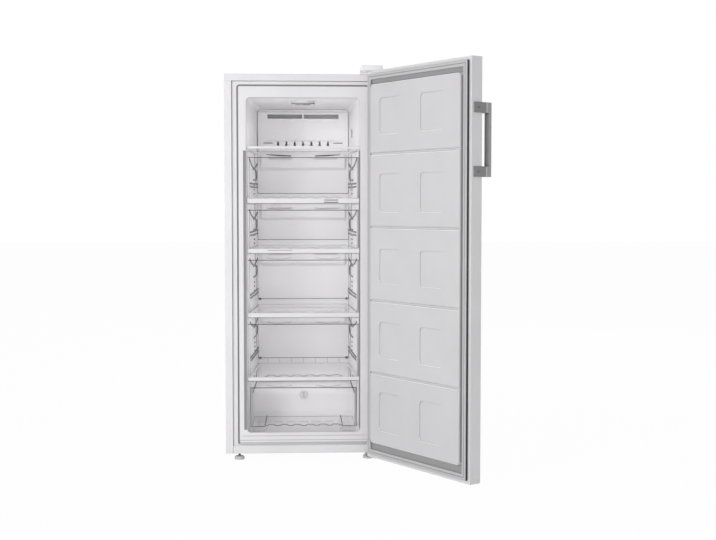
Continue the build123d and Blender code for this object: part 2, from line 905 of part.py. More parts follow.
def return_bend(side, x, y, lower, upper):
    """Half-circle bend that joins two passes of a flat coil."""
    reach = (upper - lower) / 2
    middle = (side * (x + reach), y, lower + reach)
    path = ThreePointArc((side * x, y, lower), middle, (side * x, y, upper))
    start = Plane(origin=(side * x, y, lower), z_dir=(side, 0, 0))
    return sweep(start * Circle(coil_radius), path)


def evaporator_fins():
    """Plates threaded on the coil."""
    y = drain_centre()
    pitch = 2 * fin_half() / (fin_count - 1)
    levels = [coil_path_level(row) for row in range(coil_rows)]
    holes = [rod((-half, y, level), (half, y, level), coil_radius) for level in levels]
    y0 = y - fin_depth / 2
    plate = block(0, fin_thickness, y0, y0 + fin_depth, coil_level, coil_level + fin_height) - holes
    first = -fin_half() - fin_thickness / 2
    return [Pos(first + index * pitch, 0, 0) * plate for index in range(fin_count)]


def defrost_heater():
    """Straight rod with a boot at each end, under the fins."""
    y = drain_centre()
    z = coil_level - heater_drop
    x = fin_half()
    boot = rod((x - heater_boot_length, y, z), (x, y, z), heater_radius + heater_boot_wall)
    return union([rod((-x, y, z), (x, y, z), heater_radius), *both_sides(boot)])


def drain_centre():
    """The y of the coil's middle plane, over the drain."""
    return at(cover_plane + cover_wall + fin_depth / 2 + coil_side_gap)


def drain_hole():
    return rod((0, drain_centre(), 0), (0, drain_centre(), drain_top), drain_radius)


def drain_trough():
    """Trough under the evaporator with its tube down to the bay."""
    x = fin_half() + trough_overhang
    y0, y1 = at(cover_plane + cover_wall + cover_side_gap), at(cavity_depth - trough_gap)
    tray = open_tray(-x, x, y0, y1, drain_top, drain_top + trough_depth)
    low = (0, drain_centre(), bay_top - bay_sheet - drain_stub)
    high = (0, drain_centre(), drain_top + trough_wall)
    return tray + rod(low, high, drain_radius) - rod(low, high, drain_radius - trough_wall)


def open_tray(x0, x1, y0, y1, z0, z1):
    """A thin-walled box, open at the top."""
    wall = trough_wall
    return block(x0, x1, y0, y1, z0, z1) - block(x0 + wall, x1 - wall, y0 + wall, y1 - wall, z0 + wall, z1)


def fan_shroud():
    """Square plate with a round collar and three arms that carry the motor."""
    bore_radius = fan_radius + fan_tip_gap
    size = bore_radius + shroud_margin
    plane, arm_plane = fan_plane, fan_plane + fan_depth
    arm_back = arm_plane + shroud_wall
    plate = block(-size, size, at(plane), at(plane + shroud_wall), fan_level - size, fan_level + size)
    shape = plate + fan_rod(plane, arm_plane, bore_radius + shroud_wall)
    shape -= fan_rod(plane, arm_plane, bore_radius)
    arm_reach = bore_radius + shroud_wall
    arm = block(-arm_width / 2, arm_width / 2, at(arm_plane), at(arm_back), 0, arm_reach)
    for index in range(arm_count):
        shape += Pos(0, 0, fan_level) * Rot(0, 360 / arm_count * index, 0) * arm
    shape += fan_rod(arm_plane, arm_back, motor_radius)
    return shape - fan_rod(arm_plane, arm_back, fan_shaft_radius + shaft_hole_gap)


def fan_rod(start, end, radius):
    """A round bar on the fan's axis between two depths."""
    return rod((0, at(start), fan_level), (0, at(end), fan_level), radius)


def fan_motor():
    """Motor can on the back of the shroud's arms, with its shaft."""
    can_front = fan_plane + fan_depth + shroud_wall
    can = fan_rod(can_front, can_front + motor_length, motor_radius)
    return can + fan_rod(fan_plane + fan_hub_inset, can_front, fan_shaft_radius)


def fan_blade():
    """Hub with a bore for the shaft and pitched blades."""
    length = fan_depth - 2 * fan_hub_inset
    hub = Cylinder(fan_hub_radius, length)
    reach = fan_radius - fan_hub_radius
    blade = Rot(fan_pitch_deg, 0, 0) * Box(reach, fan_chord, fan_sheet)
    blade = Pos(fan_hub_radius + reach / 2 - fan_root, 0, 0) * blade
    shape = union([hub] + [Rot(0, 0, 360 / fan_blades * index) * blade for index in range(fan_blades)])
    shape -= Cylinder(fan_shaft_radius + shaft_clearance, length)
    middle = at(fan_plane) + fan_hub_inset + length / 2
    return Pos(0, middle, fan_level) * Rot(90, 0, 0) * shape


def compressor_place():
    return compressor_x, bay_front + compressor_radius + compressor_bay_gap


def compressor():
    """Domed shell on a four-cornered foot plate."""
    x, y = compressor_place()
    z0 = compressor_foot
    plate_x, plate_y = compressor_radius + foot_plate_wing, compressor_radius - foot_plate_inset
    plate = block(x - plate_x, x + plate_x, y - plate_y, y + plate_y, z0, z0 + foot_plate)
    for gx, gy in grommet_places():
        plate -= Pos(gx, gy, z0 + foot_plate / 2) * Cylinder(grommet_neck, foot_plate)
    shell = Cylinder(compressor_radius, compressor_height)
    ends = shell.edges().filter_by(GeomType.CIRCLE)
    shell = fillet(ends, compressor_round)
    return plate + Pos(x, y, z0 + foot_plate + compressor_height / 2) * shell


def grommet_places():
    x, y = compressor_place()
    dx, dy = compressor_radius + grommet_wing, compressor_radius - grommet_inset
    return [(x + side_x * dx, y + side_y * dy) for side_x in (-1, 1) for side_y in (-1, 1)]


def compressor_grommets():
    """Rubber mounts between the base plate and the compressor's foot plate."""
    z0 = body_bottom + base_sheet
    mounts = []
    for gx, gy in grommet_places():
        foot = Cylinder(grommet_neck + grommet_collar, grommet_height)
        foot = Pos(gx, gy, z0 + grommet_height / 2) * foot
        neck = Pos(gx, gy, z0 + grommet_height + foot_plate / 2) * Cylinder(grommet_neck, foot_plate)
        mounts.append(foot + neck)
    return mounts


def relay_box():
    """Starter relay on the compressor's side."""
    x, y = compressor_place()
    z0 = compressor_foot + compressor_height / 2
    x0, x1 = x + compressor_radius - relay_sink, x + compressor_radius + relay_reach
    box = block(x0, x1, y - relay_size / 2, y + relay_size / 2, z0 - relay_size / 2, z0 + relay_size / 2)
    return box - Pos(x, y, z0) * Cylinder(compressor_radius, 2 * compressor_height)


def evaporation_tray():
    """Tray on the compressor, under the drain tube."""
    x, y = compressor_place()
    x0, x1 = x - tray_reach, tray_reach / 2
    y0, y1 = y - tray_reach / 2, drain_centre() + 3 * drain_radius
    return open_tray(x0, x1, y0, y1, tray_bottom, tray_bottom + tray_height)


def condenser_y():
    return rear_panel_y + condenser_gap


def condenser():
    """Flat serpentine behind the rear panel, held by flat upright straps."""
    y = condenser_y()
    x = half - condenser_margin
    z0, z1 = bay_top + condenser_margin, cover_underside - condenser_margin
    pitch = (z1 - z0) / (condenser_rows - 1)
    points = []
    for row in range(condenser_rows):
        ends = (-x, x) if row % 2 == 0 else (x, -x)
        points += [(ends[0], y, z0 + row * pitch), (ends[1], y, z0 + row * pitch)]
    path = FilletPolyline(*points, radius=pitch * turn_share)
    tube = sweep(Plane(origin=points[0], z_dir=(1, 0, 0)) * Circle(condenser_tube_radius), path)
    straps = []
    for index in range(strap_count):
        x0 = (index - (strap_count - 1) / 2) * strap_pitch - strap_width / 2
        straps.append(block(x0, x0 + strap_width, rear_panel_y, y, z0 - strap_overhang, z1 + strap_overhang))
    return union([tube, *straps])


def tube_through(points, radius, tube_radius):
    """A pipe along straight runs and arcs."""
    path = FilletPolyline(*points, radius=radius)
    start, after = Vector(*points[0]), Vector(*points[1])
    return sweep(Plane(origin=start, z_dir=after - start) * Circle(tube_radius), path)


def refrigerant_pipes():
    """Discharge pipe to the condenser, and the suction pipe down from the insulation."""
    x, y = compressor_place()
    level = compressor_foot + foot_plate + compressor_height / 2
    row_z = bay_top + condenser_margin
    left = -half + condenser_margin
    beside = left - pipe_clearance
    cy = condenser_y()
    route = [
        (left, cy, row_z),
        (beside, cy, row_z),
        (beside, cy, level),
        (x, cy, level),
        (x, y + compressor_radius - pipe_sink, level),
    ]
    discharge = tube_through(route, pipe_bend, condenser_tube_radius)
    upper = level + suction_rise
    riser = x - compressor_radius - suction_reach
    inside = x - compressor_radius + pipe_sink
    route = [(inside, y, upper), (riser, y, upper), (riser, y, bay_top - bay_sheet)]
    suction = tube_through(route, pipe_bend, pipe_radius)
    shell = compressor()
    return [discharge - shell, suction - shell]


def filter_drier():
    """Copper capsule in the bay with a pipe up into the insulation."""
    y = bay_front + drier_from_bay
    z0 = body_bottom + base_sheet + drier_level
    top = (drier_x, y, z0 + drier_length)
    body = rod((drier_x, y, z0), top, drier_radius)
    body = fillet(body.edges().filter_by(GeomType.CIRCLE), drier_radius * drier_end_share)
    return body + rod(top, (drier_x, y, bay_top - bay_sheet), condenser_tube_radius)


def cord_gland():
    """Bushing in the rear panel for the supply cord, with a flange on its outside."""
    x, z = half - gland_from_side, bay_top + gland_above_bay
    y = rear_panel_y
    inside, outside = (x, y - sheet, z), (x, y + gland_length, z)
    flange = rod((x, y, z), (x, y + gland_flange_depth, z), gland_radius + gland_flange)
    return flange + rod(inside, outside, gland_radius) - rod(inside, outside, cord_radius)


def gland_hole():
    x, z = half - gland_from_side, bay_top + gland_above_bay
    return rod((x, rear_panel_y - sheet, z), (x, rear_panel_y, z), gland_radius)


# ---- hinges ----
def upper_plate_z():
    return door_top + bush_flange + hinge_seat_gap


def lower_plate_z():
    """Top of the lower hinge's plate."""
    return door_bottom - bush_flange - hinge_seat_gap


def hinge_outline(z0, z1):
    """Hinge plate with a round nose about the pin."""
    x0, x1 = half - hinge_width, half - hinge_from_side
    plate = block(x0, x1, axis_y, at(hinge_reach_back), z0, z1)
    nose = Pos(axis_x, axis_y, (z0 + z1) / 2) * Cylinder(hinge_nose, z1 - z0)
    return (plate + nose) & block(x0, x1, axis_y - hinge_nose, back, z0, z1)


def screw_places():
    """The three screws of the upper hinge."""
    middle = half - hinge_width / 2
    pair_y, single_y = (at(hinge_reach_back) - inset for inset in hinge_screw_insets)
    return [(middle - hinge_screw_spread, pair_y), (middle + hinge_screw_spread, pair_y), (middle, single_y)]


def hinge_upper():
    """Plate over the door on a raised seat, with its pin down into the door."""
    z0 = upper_plate_z()
    z1 = z0 + hinge_plate
    plate = hinge_outline(z0, z1)
    seat_y = at(hinge_reach_back)
    x0, x1 = half - hinge_width, half - hinge_from_side
    seat = block(x0, x1, seat_y - hinge_seat_depth, seat_y, hinge_corner, z0)
    pin_end = door_top - bush_depth + pin_end_gap
    shape = plate + seat + axis_rod(pin_end, z1, pin_radius)
    for x, y in screw_places():
        shape -= rod((x, y, hinge_corner), (x, y, z1), hinge_screw_radius)
    return shape


def hinge_screws():
    """Hexagon-headed screws that hold the upper hinge."""
    z1 = upper_plate_z() + hinge_plate
    shapes = []
    for x, y in screw_places():
        head = Pos(x, y, z1) * extrude(RegularPolygon(hinge_screw_head, 6), hinge_screw_head_height)
        shank = rod((x, y, hinge_corner), (x, y, z1), hinge_screw_radius)
        shapes.append(head + shank)
    return shapes


def hinge_lower():
    """Plate under the cabinet and the door, with its pin up into the door."""
    z1 = lower_plate_z()
    z0 = z1 - hinge_plate
    plate = hinge_outline(z0, z1)
    x0, x1 = half - hinge_width, half - hinge_from_side
    seat = block(x0, x1, at(lower_seat_from_front), at(hinge_reach_back), z1, body_bottom)
    pin_end = door_bottom + bush_depth - pin_end_gap
    shape = plate + seat + axis_rod(z0, pin_end, pin_radius)
    px, py = stud_place(1)
    return shape - rod((px, py, z0), (px, py, body_bottom), stud_radius + stud_clearance)


def hinge_cover():
    """Cap over the upper hinge, standing on the cabinet and clear of the door."""
    x0 = half - hinge_cover_width
    wall = hinge_cover_wall
    y0, y1 = axis_y - hinge_nose - wall - nose_cover_gap, hinge_cover_back()
    z1 = body_top + hinge_cover_height
    outer = block(x0, half, y0, y1, hinge_corner, z1)
    outer = fillet(outer.edges().group_by(Axis.Z)[-1] + outer.edges().filter_by(Axis.Z), hinge_cover_round)
    inner = block(x0 + wall, half - wall / 2, y0 + wall, y1 - wall, hinge_corner, z1 - wall)
    over_door = block(x0, half, y0, front + sheet, hinge_corner, door_top + door_cover_gap)
    return outer - inner - over_door


def bush(top):
    """Flanged bush in the door; its flange runs against the hinge plate."""
    radius = pin_radius + pin_clearance + bush_wall
    face = door_top if top else door_bottom
    outward = 1 if top else -1
    inner_end, flange_end = face - outward * bush_depth, face + outward * bush_flange
    body = axis_rod(inner_end, face, radius)
    flange = axis_rod(face, flange_end, radius + bush_flange)
    return body + flange - axis_rod(inner_end, flange_end, pin_radius + pin_clearance)


def axis_rod(z0, z1, radius):
    """A round bar on the door's hinge axis."""
    return rod((axis_x, axis_y, z0), (axis_x, axis_y, z1), radius)


def bush_holes():
    radius = pin_radius + pin_clearance + bush_wall
    ends = ((door_top - bush_depth, door_top), (door_bottom, door_bottom + bush_depth))
    return [axis_rod(z0, z1, radius) for z0, z1 in ends]


# ---- feet and rollers ----
def front_foot(side):
    """Levelling foot: round pad with its threaded stud."""
    x, y = stud_place(side)
    pad = Cylinder(foot_radius, foot_height)
    pad = chamfer(pad.edges().filter_by(GeomType.CIRCLE).sort_by(Axis.Z)[-1], foot_chamfer)
    stud_top = body_bottom + base_sheet + boss_height - stud_sink
    stud = rod((x, y, foot_height - stud_sink), (x, y, stud_top), stud_radius)
    return Pos(x, y, foot_height / 2) * pad + stud


def rear_roller(side):
    x, y = roller_place(side)
    wheel = Cylinder(roller_radius, roller_width)
    wheel -= Cylinder(axle_radius + axle_clearance, roller_width)
    wheel = chamfer(wheel.edges().filter_by(GeomType.CIRCLE), roller_chamfer)
    return Pos(x, y, roller_radius) * Rot(0, 90, 0) * wheel


# ---- door, drawn shut and swung open when written ----
def door_block(z0, z1, y0, y1, inset):
    """A slab of the door with its two long outer edges rounded."""
    shape = block(-half + inset, half - inset, y0, y1, z0, z1)
    radius = door_edge_round - inset
    return fillet(shape.edges().filter_by(Axis.Z).group_by(Axis.Y)[0], radius)


def door_outer_panel():
    """Painted sheet: face, two sides and the border lips round the inner face."""
    z0, z1 = door_bottom + end_cap_height, door_top - end_cap_height
    outer = door_block(z0, z1, door_outer, door_inner, 0)
    inner = door_block(z0, z1, door_outer + door_sheet, door_inner - door_sheet, door_sheet)
    x = half - door_border
    opening = block(-x, x, door_inner - door_sheet, door_inner, z0, z1)
    return outer - inner - opening


def door_end_cap(top):
    """Moulded cap that closes the door's sheet at one end, with the bush for the hinge pin."""
    z0 = door_top - end_cap_height if top else door_bottom
    cap = door_block(z0, z0 + end_cap_height, door_outer, door_inner, 0)
    return cap - bush_holes() + bush(top)


def pan(y0, y1, inset0, inset1, corner):
    """The raised part of the door's liner between two planes."""
    sections = [
        front_rectangle(
            2 * (half - pan_margin_side - inset),
            door_bottom + pan_margin_bottom + inset,
            door_top - pan_margin_top - inset,
            y,
            corner,
        )
        for y, inset in ((y0, inset0), (y1, inset1))
    ]
    return loft(sections)


def door_liner():
    """Plastic inner face: rim, raised pan, four grooves and ten wedge-shaped pads."""
    x = half - door_border
    z0, z1 = door_bottom + end_cap_height, door_top - end_cap_height
    surface = door_inner + pan_rise
    shape = block(-x, x, door_inner - door_liner_wall, door_inner, z0, z1)
    shape += pan(door_inner, surface, 0, pan_flank, pan_corner)
    shape -= pan_hollow()
    spread = (door_top - door_bottom) / door_pattern_height
    for rise in groove_rises:
        level = door_bottom + rise * spread
        bottom, mouth = groove_floor / 2, groove_width / 2
        outline = [
            (surface, level - mouth),
            (surface - groove_depth, level - bottom),
            (surface - groove_depth, level + bottom),
            (surface, level + mouth),
        ]
        shape -= side_prism(outline, -half, half)
    for rise, height in zip(pad_rises, pad_heights):
        for deep in pad_deep_edges:
            shape -= door_pad(deep, door_bottom + rise * spread, height * spread, surface)
    return shape


def pan_hollow():
    """The space behind the raised liner, which the insulation fills."""
    inset = pan_skin + pan_flank
    return pan(door_inner - door_liner_wall, door_inner + pan_rise - pan_skin, inset, inset, pan_corner / 2)


def door_pad(deep, top, height, surface):
    """A shallow wedge with rounded corners, deepest at one upright edge."""
    outline = [(deep, surface), (deep, surface - pad_depth), (deep - pad_width, surface)]
    wedge = prism(outline, top - height, top)
    centre = (deep - pad_width / 2, surface, top - height / 2)
    window = Plane(origin=centre, x_dir=(1, 0, 0), z_dir=(0, -1, 0))
    return wedge & extrude(window * RectangleRounded(pad_width, height, pad_round), pad_depth)


def door_foam():
    """Insulation inside the door's panel and liner."""
    z0, z1 = door_bottom + end_cap_height, door_top - end_cap_height
    foam = door_block(z0, z1, door_outer + door_sheet, door_inner - door_sheet, door_sheet)
    x = half - door_border
    foam -= block(-x, x, door_inner - door_liner_wall, door_inner, z0, z1)
    foam += pan_hollow()
    return foam - bush_holes()


def door_gasket():
    """Grooved rubber frame on the door's border."""
    outer = (half - door_border, door_bottom + end_cap_height, door_top - end_cap_height)
    y0, y1 = door_inner, front - gasket_clearance
    frame = frame_slab(outer, y0, y1, gasket_lip)
    frame -= frame_slab(shrunk(outer, gasket_width), y0, y1, gasket_lip)
    channel = frame_slab(shrunk(outer, gasket_lip), y1 - gasket_lip, y1, gasket_lip)
    channel -= frame_slab(shrunk(outer, 2 * gasket_lip), y1 - gasket_lip, y1, gasket_lip)
    return frame - channel


def shrunk(frame, by):
    """A frame's half width, low z and high z, drawn in on every side."""
    half_width, z0, z1 = frame
    return half_width - by, z0 + by, z1 - by


# ---- handle on the door's free edge ----
def handle_levels():
    """Low and high end of each bracket."""
    top = door_top - handle_top_drop
    low = top - handle_length
    return (low, low + bracket_height), (top - bracket_height, top)


def handle_face():
    """The y of the grip bar's outer face."""
    return door_outer - handle_stand_off


def handle_bar():
    """Grip bar with deeper ends that meet the brackets."""
    (low, _), (_, top) = handle_levels()
    x0 = -half - bracket_plate
    x1 = x0 + bar_width
    y0 = handle_face()
    bar = block(x0, x1, y0, y0 + bar_thickness, low, top)
    for z0, z1 in handle_levels():
        bar += block(x0, x1, y0, y0 + bar_end_depth, z0, z1)
    bar = fillet(bar.edges().filter_by(Axis.Z).group_by(Axis.Y)[0], handle_edge_round)
    (_, grip_low), (grip_high, _) = handle_levels()
    y1 = y0 + bar_thickness
    return bar - block(x0 + bar_groove, x1 - bar_width / 2, y1 - bar_groove, y1, grip_low, grip_high)


def handle_brackets():
    """Two plates screwed to the door's edge that carry the bar."""
    y0, y1 = handle_face() + bar_end_depth, door_inner - bracket_inset
    plates = []
    for z0, z1 in handle_levels():
        plate = block(-half - bracket_plate, -half, y0, y1, z0, z1)
        plates.append(plate - handle_screw_rod(z0, z1, bracket_plate, screw_radius))
    return plates


def handle_screw_rod(z0, z1, length, radius):
    """A round bar on a handle screw's axis, out from the door's edge."""
    y = (door_inner - bracket_inset + door_outer) / 2
    z = (z0 + z1) / 2
    return rod((-half - length, y, z), (-half, y, z), radius)


def handle_screws():
    screws = []
    for z0, z1 in handle_levels():
        shank = handle_screw_rod(z0, z1, bracket_plate, screw_radius)
        head = handle_screw_rod(z0, z1, bracket_plate + screw_head_height, screw_head_radius)
        head -= handle_screw_rod(z0, z1, bracket_plate, screw_head_radius)
        screws.append(shank + head)
    return screws


def write_all():
    """Writes every node."""
    save("side_panel_right", side_panel())
    save("side_panel_left", mirrored(side_panel()))
    save("top_cover", top_cover())
    save("rear_panel", rear_panel())
    save("bottom_trim", bottom_trim())
    save("base_plate", base_plate())
    save("bay_panel", bay_panel())
    save("inner_liner", inner_liner())
    save("foam_body", foam_body())
    for index, (level, height) in enumerate(zip(shelf_levels, trim_heights), start=1):
        save(f"shelf_glass_{index}", shelf_glass(level, height))
        save(f"shelf_trim_{index}", shelf_trim(level, height))
    for index, shape in enumerate(drawers(), start=1):
        save(f"drawer_{index}", shape)
    save("evaporator_cover", evaporator_cover())
    save("duct_panel", duct_panel())
    save("lamp_housing", lamp_housing())
    save("lamp_lens", lamp_lens())
    save("sensor_cover", sensor_cover())
    save("hump_plug", hump_plug())
    save("evaporator_coil", evaporator_coil(), defrost_heater())
    save("evaporator_fins", *evaporator_fins())
    save("drain_trough", drain_trough())
    save("fan_shroud", fan_shroud())
    save("fan_motor", fan_motor())
    save("fan_blade", fan_blade())
    save("compressor", compressor())
    save("compressor_grommets", *compressor_grommets())
    save("relay_box", relay_box())
    save("evaporation_tray", evaporation_tray())
    save("condenser", condenser())
    save("refrigerant_pipes", *refrigerant_pipes(), filter_drier())
    save("cord_gland", cord_gland())
    save("hinge_upper", hinge_upper())
    save("hinge_lower", hinge_lower())
    save("hinge_screws", *hinge_screws())
    save("hinge_cover", hinge_cover())
    for side, name in ((-1, "left"), (1, "right")):
        save(f"front_foot_{name}", front_foot(side))
        save(f"rear_roller_{name}", rear_roller(side))
    save("door_outer_panel", on_door(door_outer_panel()))
    save("door_cap_top", on_door(door_end_cap(True)))
    save("door_cap_bottom", on_door(door_end_cap(False)))
    save("door_liner", on_door(door_liner()))
    save("door_foam", on_door(door_foam()))
    save("door_gasket", on_door(door_gasket()))
    save("handle_bar", on_door(handle_bar()))
    save("handle_brackets", *[on_door(plate) for plate in handle_brackets()])
    save("handle_screws", *[on_door(screw) for screw in handle_screws()])


write_all()
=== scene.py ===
"""Looks of the upright freezer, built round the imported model. Metres; the door side faces -Y."""

import bpy
import bmesh
import json
import math
from mathutils import Matrix, Vector


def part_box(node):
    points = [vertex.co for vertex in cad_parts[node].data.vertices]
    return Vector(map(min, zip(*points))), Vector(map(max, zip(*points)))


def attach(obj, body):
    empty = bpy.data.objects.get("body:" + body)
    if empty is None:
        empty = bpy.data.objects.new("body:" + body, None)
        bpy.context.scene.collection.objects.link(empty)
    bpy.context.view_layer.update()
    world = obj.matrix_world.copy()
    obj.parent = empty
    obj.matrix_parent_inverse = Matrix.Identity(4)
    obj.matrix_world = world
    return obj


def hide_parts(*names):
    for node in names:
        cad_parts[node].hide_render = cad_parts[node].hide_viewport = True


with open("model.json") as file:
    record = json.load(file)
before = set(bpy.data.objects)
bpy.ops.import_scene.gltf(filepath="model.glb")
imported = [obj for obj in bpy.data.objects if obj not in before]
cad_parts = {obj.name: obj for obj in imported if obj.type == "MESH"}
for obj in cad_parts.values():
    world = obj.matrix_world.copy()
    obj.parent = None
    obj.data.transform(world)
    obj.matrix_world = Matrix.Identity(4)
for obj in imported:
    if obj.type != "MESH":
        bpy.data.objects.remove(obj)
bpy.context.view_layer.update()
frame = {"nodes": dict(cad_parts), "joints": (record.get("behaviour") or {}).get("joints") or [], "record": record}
nodes = frame["nodes"]
MM = 0.001

# The camera, fitted to the corners of the cabinet and the open door in the photograph.
CAMERA_PLACE = (-0.0034, -4.9174, 0.9768)
CAMERA_PITCH, CAMERA_YAW = 2.95, 2.64  # degrees down, degrees to the right
CAMERA_LENS, CAMERA_SENSOR = 60.556, 36.0  # millimetres
CAMERA_REACH = 100.0

# The room: even light from all sides, and square lamps as (name, place, target, power).
LAMP_WHITE = (1.0, 0.995, 1.0)
PLAIN_WHITE = (1, 1, 1, 1)
AMBIENT = 0.44
ROOM_LAMP_SIZE = (1.6, 1.6)
ROOM_LAMPS = (
    ("key", (-2.4, -4.0, 1.5), (0.05, -0.2, 0.8), 80.0),
    ("fill", (0.9, -5.0, 0.9), (0.0, 0.0, 0.8), 15.0),
    ("rear", (2.0, 4.4, 2.2), (0.1, 0.2, 0.7), 34.0),
)
# Soft lamps for the cavity, as (name, place, target, size, power), and the power below a shelf.
CAVITY_LAMPS = (
    ("mouth_light", (-0.02, -0.262, 0.845), (-0.02, 0.1, 0.845), (0.38, 1.04), 1.35),
    ("side_light", (-0.95, -0.75, 0.85), (0.4, -0.55, 0.8), (0.3, 1.3), 1.4),
)
SHELF_POWER, LAST_SHELF_SHARE = 0.035, 3
FLOOR_REACH = 30.0
CLEAR_WALLS = 32  # a ray may pass this many: the clear drawers stand many walls deep

DRAWERS = ["drawer_" + str(number) for number in range(1, 6)]
SHARP_ANGLE = math.radians(38)
CORNER_STEPS = 5  # of a rounded frame


# ---- places read from the frame ----
def low(node):
    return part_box(node)[0]


def high(node):
    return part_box(node)[1]


def joint(name):
    return next(one for one in frame["joints"] if one["name"] == name)


door_joint = joint("door_swing")
HINGE = Vector(door_joint["pos_m"])
OPEN_ANGLE = -math.radians(door_joint["range_deg"][0])
DOOR_TURN = Matrix.Rotation(OPEN_ANGLE, 4, "Z")
TO_OPEN = Matrix.Translation(HINGE) @ DOOR_TURN @ Matrix.Translation(-HINGE)


def shut_box(node):
    """Lowest and highest corners of a door node, measured as if the door was shut."""
    to_shut = TO_OPEN.inverted()
    places = [to_shut @ vertex.co for vertex in nodes[node].data.vertices]
    lowest = Vector([min(place[axis] for place in places) for axis in range(3)])
    highest = Vector([max(place[axis] for place in places) for axis in range(3)])
    return lowest, highest


def between(start, end, share):
    return start + (end - start) * share


# ---- node materials ----
def add_node(tree, kind, **values):
    """Adds a node and sets its sockets by name, or its own settings where no socket has it."""
    made = tree.nodes.new(kind)
    for key, value in values.items():
        if key in made.inputs:
            made.inputs[key].default_value = value
        else:
            setattr(made, key, value)
    return made


class Shade:
    """A small helper that adds and links nodes of one material."""

    def __init__(self, name):
        self.material = bpy.data.materials.new(name)
        self.material.use_nodes = True
        self.tree = self.material.node_tree
        self.shader = self.tree.nodes["Principled BSDF"]
        self.output = self.tree.nodes["Material Output"]

    def node(self, kind, **values):
        return add_node(self.tree, kind, **values)

    def link(self, source, target):
        self.tree.links.new(source, target)

    def drive(self, source, socket):
        """Links an output to a socket of the shader."""
        self.link(source, self.shader.inputs[socket])

    def place(self):
        """Object coordinates, so that a pattern keeps its real scale and moves with its piece."""
        return self.node("ShaderNodeTexCoord").outputs["Object"]

    def noise(self, scale, detail=2.0):
        made = self.node("ShaderNodeTexNoise", Scale=scale, Detail=detail)
        self.link(self.place(), made.inputs["Vector"])
        return made.outputs["Fac"]

    def crystals(self, scale):
        made = self.node("ShaderNodeTexVoronoi", Scale=scale)
        self.link(self.place(), made.inputs["Vector"])
        return made.outputs

    def ramp(self, source, low_color, high_color, start=0.3, end=0.7):
        made = self.node("ShaderNodeValToRGB")
        stops = made.color_ramp.elements
        stops[0].position, stops[1].position = start, end
        stops[0].color, stops[1].color = (*low_color, 1), (*high_color, 1)
        self.link(source, made.inputs["Fac"])
        return made.outputs["Color"]

    def spread(self, source, least, most):
        made = self.node("ShaderNodeMapRange")
        made.inputs["To Min"].default_value = least
        made.inputs["To Max"].default_value = most
        self.link(source, made.inputs["Value"])
        return made.outputs["Result"]

    def relief(self, height, strength, distance, edge=0.0):
        """Bump on the shader, over edges softened by a Bevel node where edge is given."""
        bump = self.node("ShaderNodeBump", Strength=strength, Distance=distance)
        self.link(height, bump.inputs["Height"])
        if edge:
            bevel = self.node("ShaderNodeBevel", Radius=edge, samples=4)
            self.link(bevel.outputs["Normal"], bump.inputs["Normal"])
        self.drive(bump.outputs["Normal"], "Normal")

    def set(self, **values):
        for key, value in values.items():
            self.shader.inputs[key.replace("_", " ")].default_value = value


def grey(level, tint=0.008):
    """A near-neutral grey with the photograph's slight violet cast."""
    return (level, level * (1 - tint), level * (1 + tint / 2))


def coated(name, level, rough, bump_scale, bump_depth, edge, coat=0.0, spread=0.03):
    """Painted or moulded surface: faint mottling, uneven gloss, fine relief and soft edges."""
    shade = Shade(name)
    cloud = shade.noise(6.0, 3.0)
    darker, lighter = grey(level * (1 - spread)), grey(level * (1 + spread / 2))
    shade.drive(shade.ramp(cloud, darker, lighter), "Base Color")
    gloss = shade.noise(35.0, 4.0)
    shade.drive(shade.spread(gloss, rough - 0.04, rough + 0.05), "Roughness")
    shade.relief(shade.noise(bump_scale), 0.35, bump_depth, edge)
    shade.set(Coat_Weight=coat, Coat_Roughness=0.12)
    return shade.material


def metal(name, level, rough, bump_scale, bump_depth, edge, tint=(1.0, 1.0, 1.0)):
    """Bare metal with a clouded surface."""
    shade = Shade(name)
    cloud = shade.noise(bump_scale / 6, 4.0)
    darker = tuple(level * 0.86 * part for part in tint)
    lighter = tuple(level * part for part in tint)
    shade.drive(shade.ramp(cloud, darker, lighter), "Base Color")
    shade.drive(shade.spread(cloud, rough - 0.08, rough + 0.1), "Roughness")
    shade.relief(shade.noise(bump_scale, 3.0), 0.3, bump_depth, edge)
    shade.set(Metallic=1.0)
    return shade.material


def clear(name, level, face, rim, rough, bump_scale, bump_depth, edge):
    """Thin clear plastic or glass: its opacity is face seen face on, and rim seen edge on."""
    shade = Shade(name)
    cloud = shade.noise(14.0, 3.0)
    shade.drive(shade.ramp(cloud, grey(level * 0.94), grey(level)), "Base Color")
    shade.drive(shade.spread(cloud, rough, rough + 0.05), "Roughness")
    weight = shade.node("ShaderNodeLayerWeight", Blend=0.45)
    shade.drive(shade.spread(weight.outputs["Facing"], face, rim), "Alpha")
    shade.relief(shade.noise(bump_scale), 0.2, bump_depth, edge)
    shade.set(IOR=1.49)
    return shade.material


def foam_material():
    """Rigid insulation with its fine closed cells."""
    shade = Shade("foam")
    cells = shade.crystals(700.0)
    cloud = shade.noise(9.0, 4.0)
    shade.drive(shade.ramp(cloud, (0.34, 0.33, 0.3), (0.42, 0.41, 0.38)), "Base Color")
    shade.relief(cells["Distance"], 0.5, 0.0006)
    shade.set(Roughness=0.9)
    return shade.material


def spangled(name):
    """Hot-dip zinc sheet with its crystal pattern."""
    shade = Shade(name)
    cells = shade.crystals(110.0)
    part = shade.node("ShaderNodeSeparateColor")
    shade.link(cells["Color"], part.inputs["Color"])
    shade.drive(shade.ramp(part.outputs[0], grey(0.50), grey(0.60), 0.0, 1.0), "Base Color")
    shade.drive(shade.spread(part.outputs[1], 0.36, 0.5), "Roughness")
    shade.relief(shade.noise(160.0, 3.0), 0.3, 0.0002, 0.0008)
    shade.set(Metallic=1.0)
    return shade.material


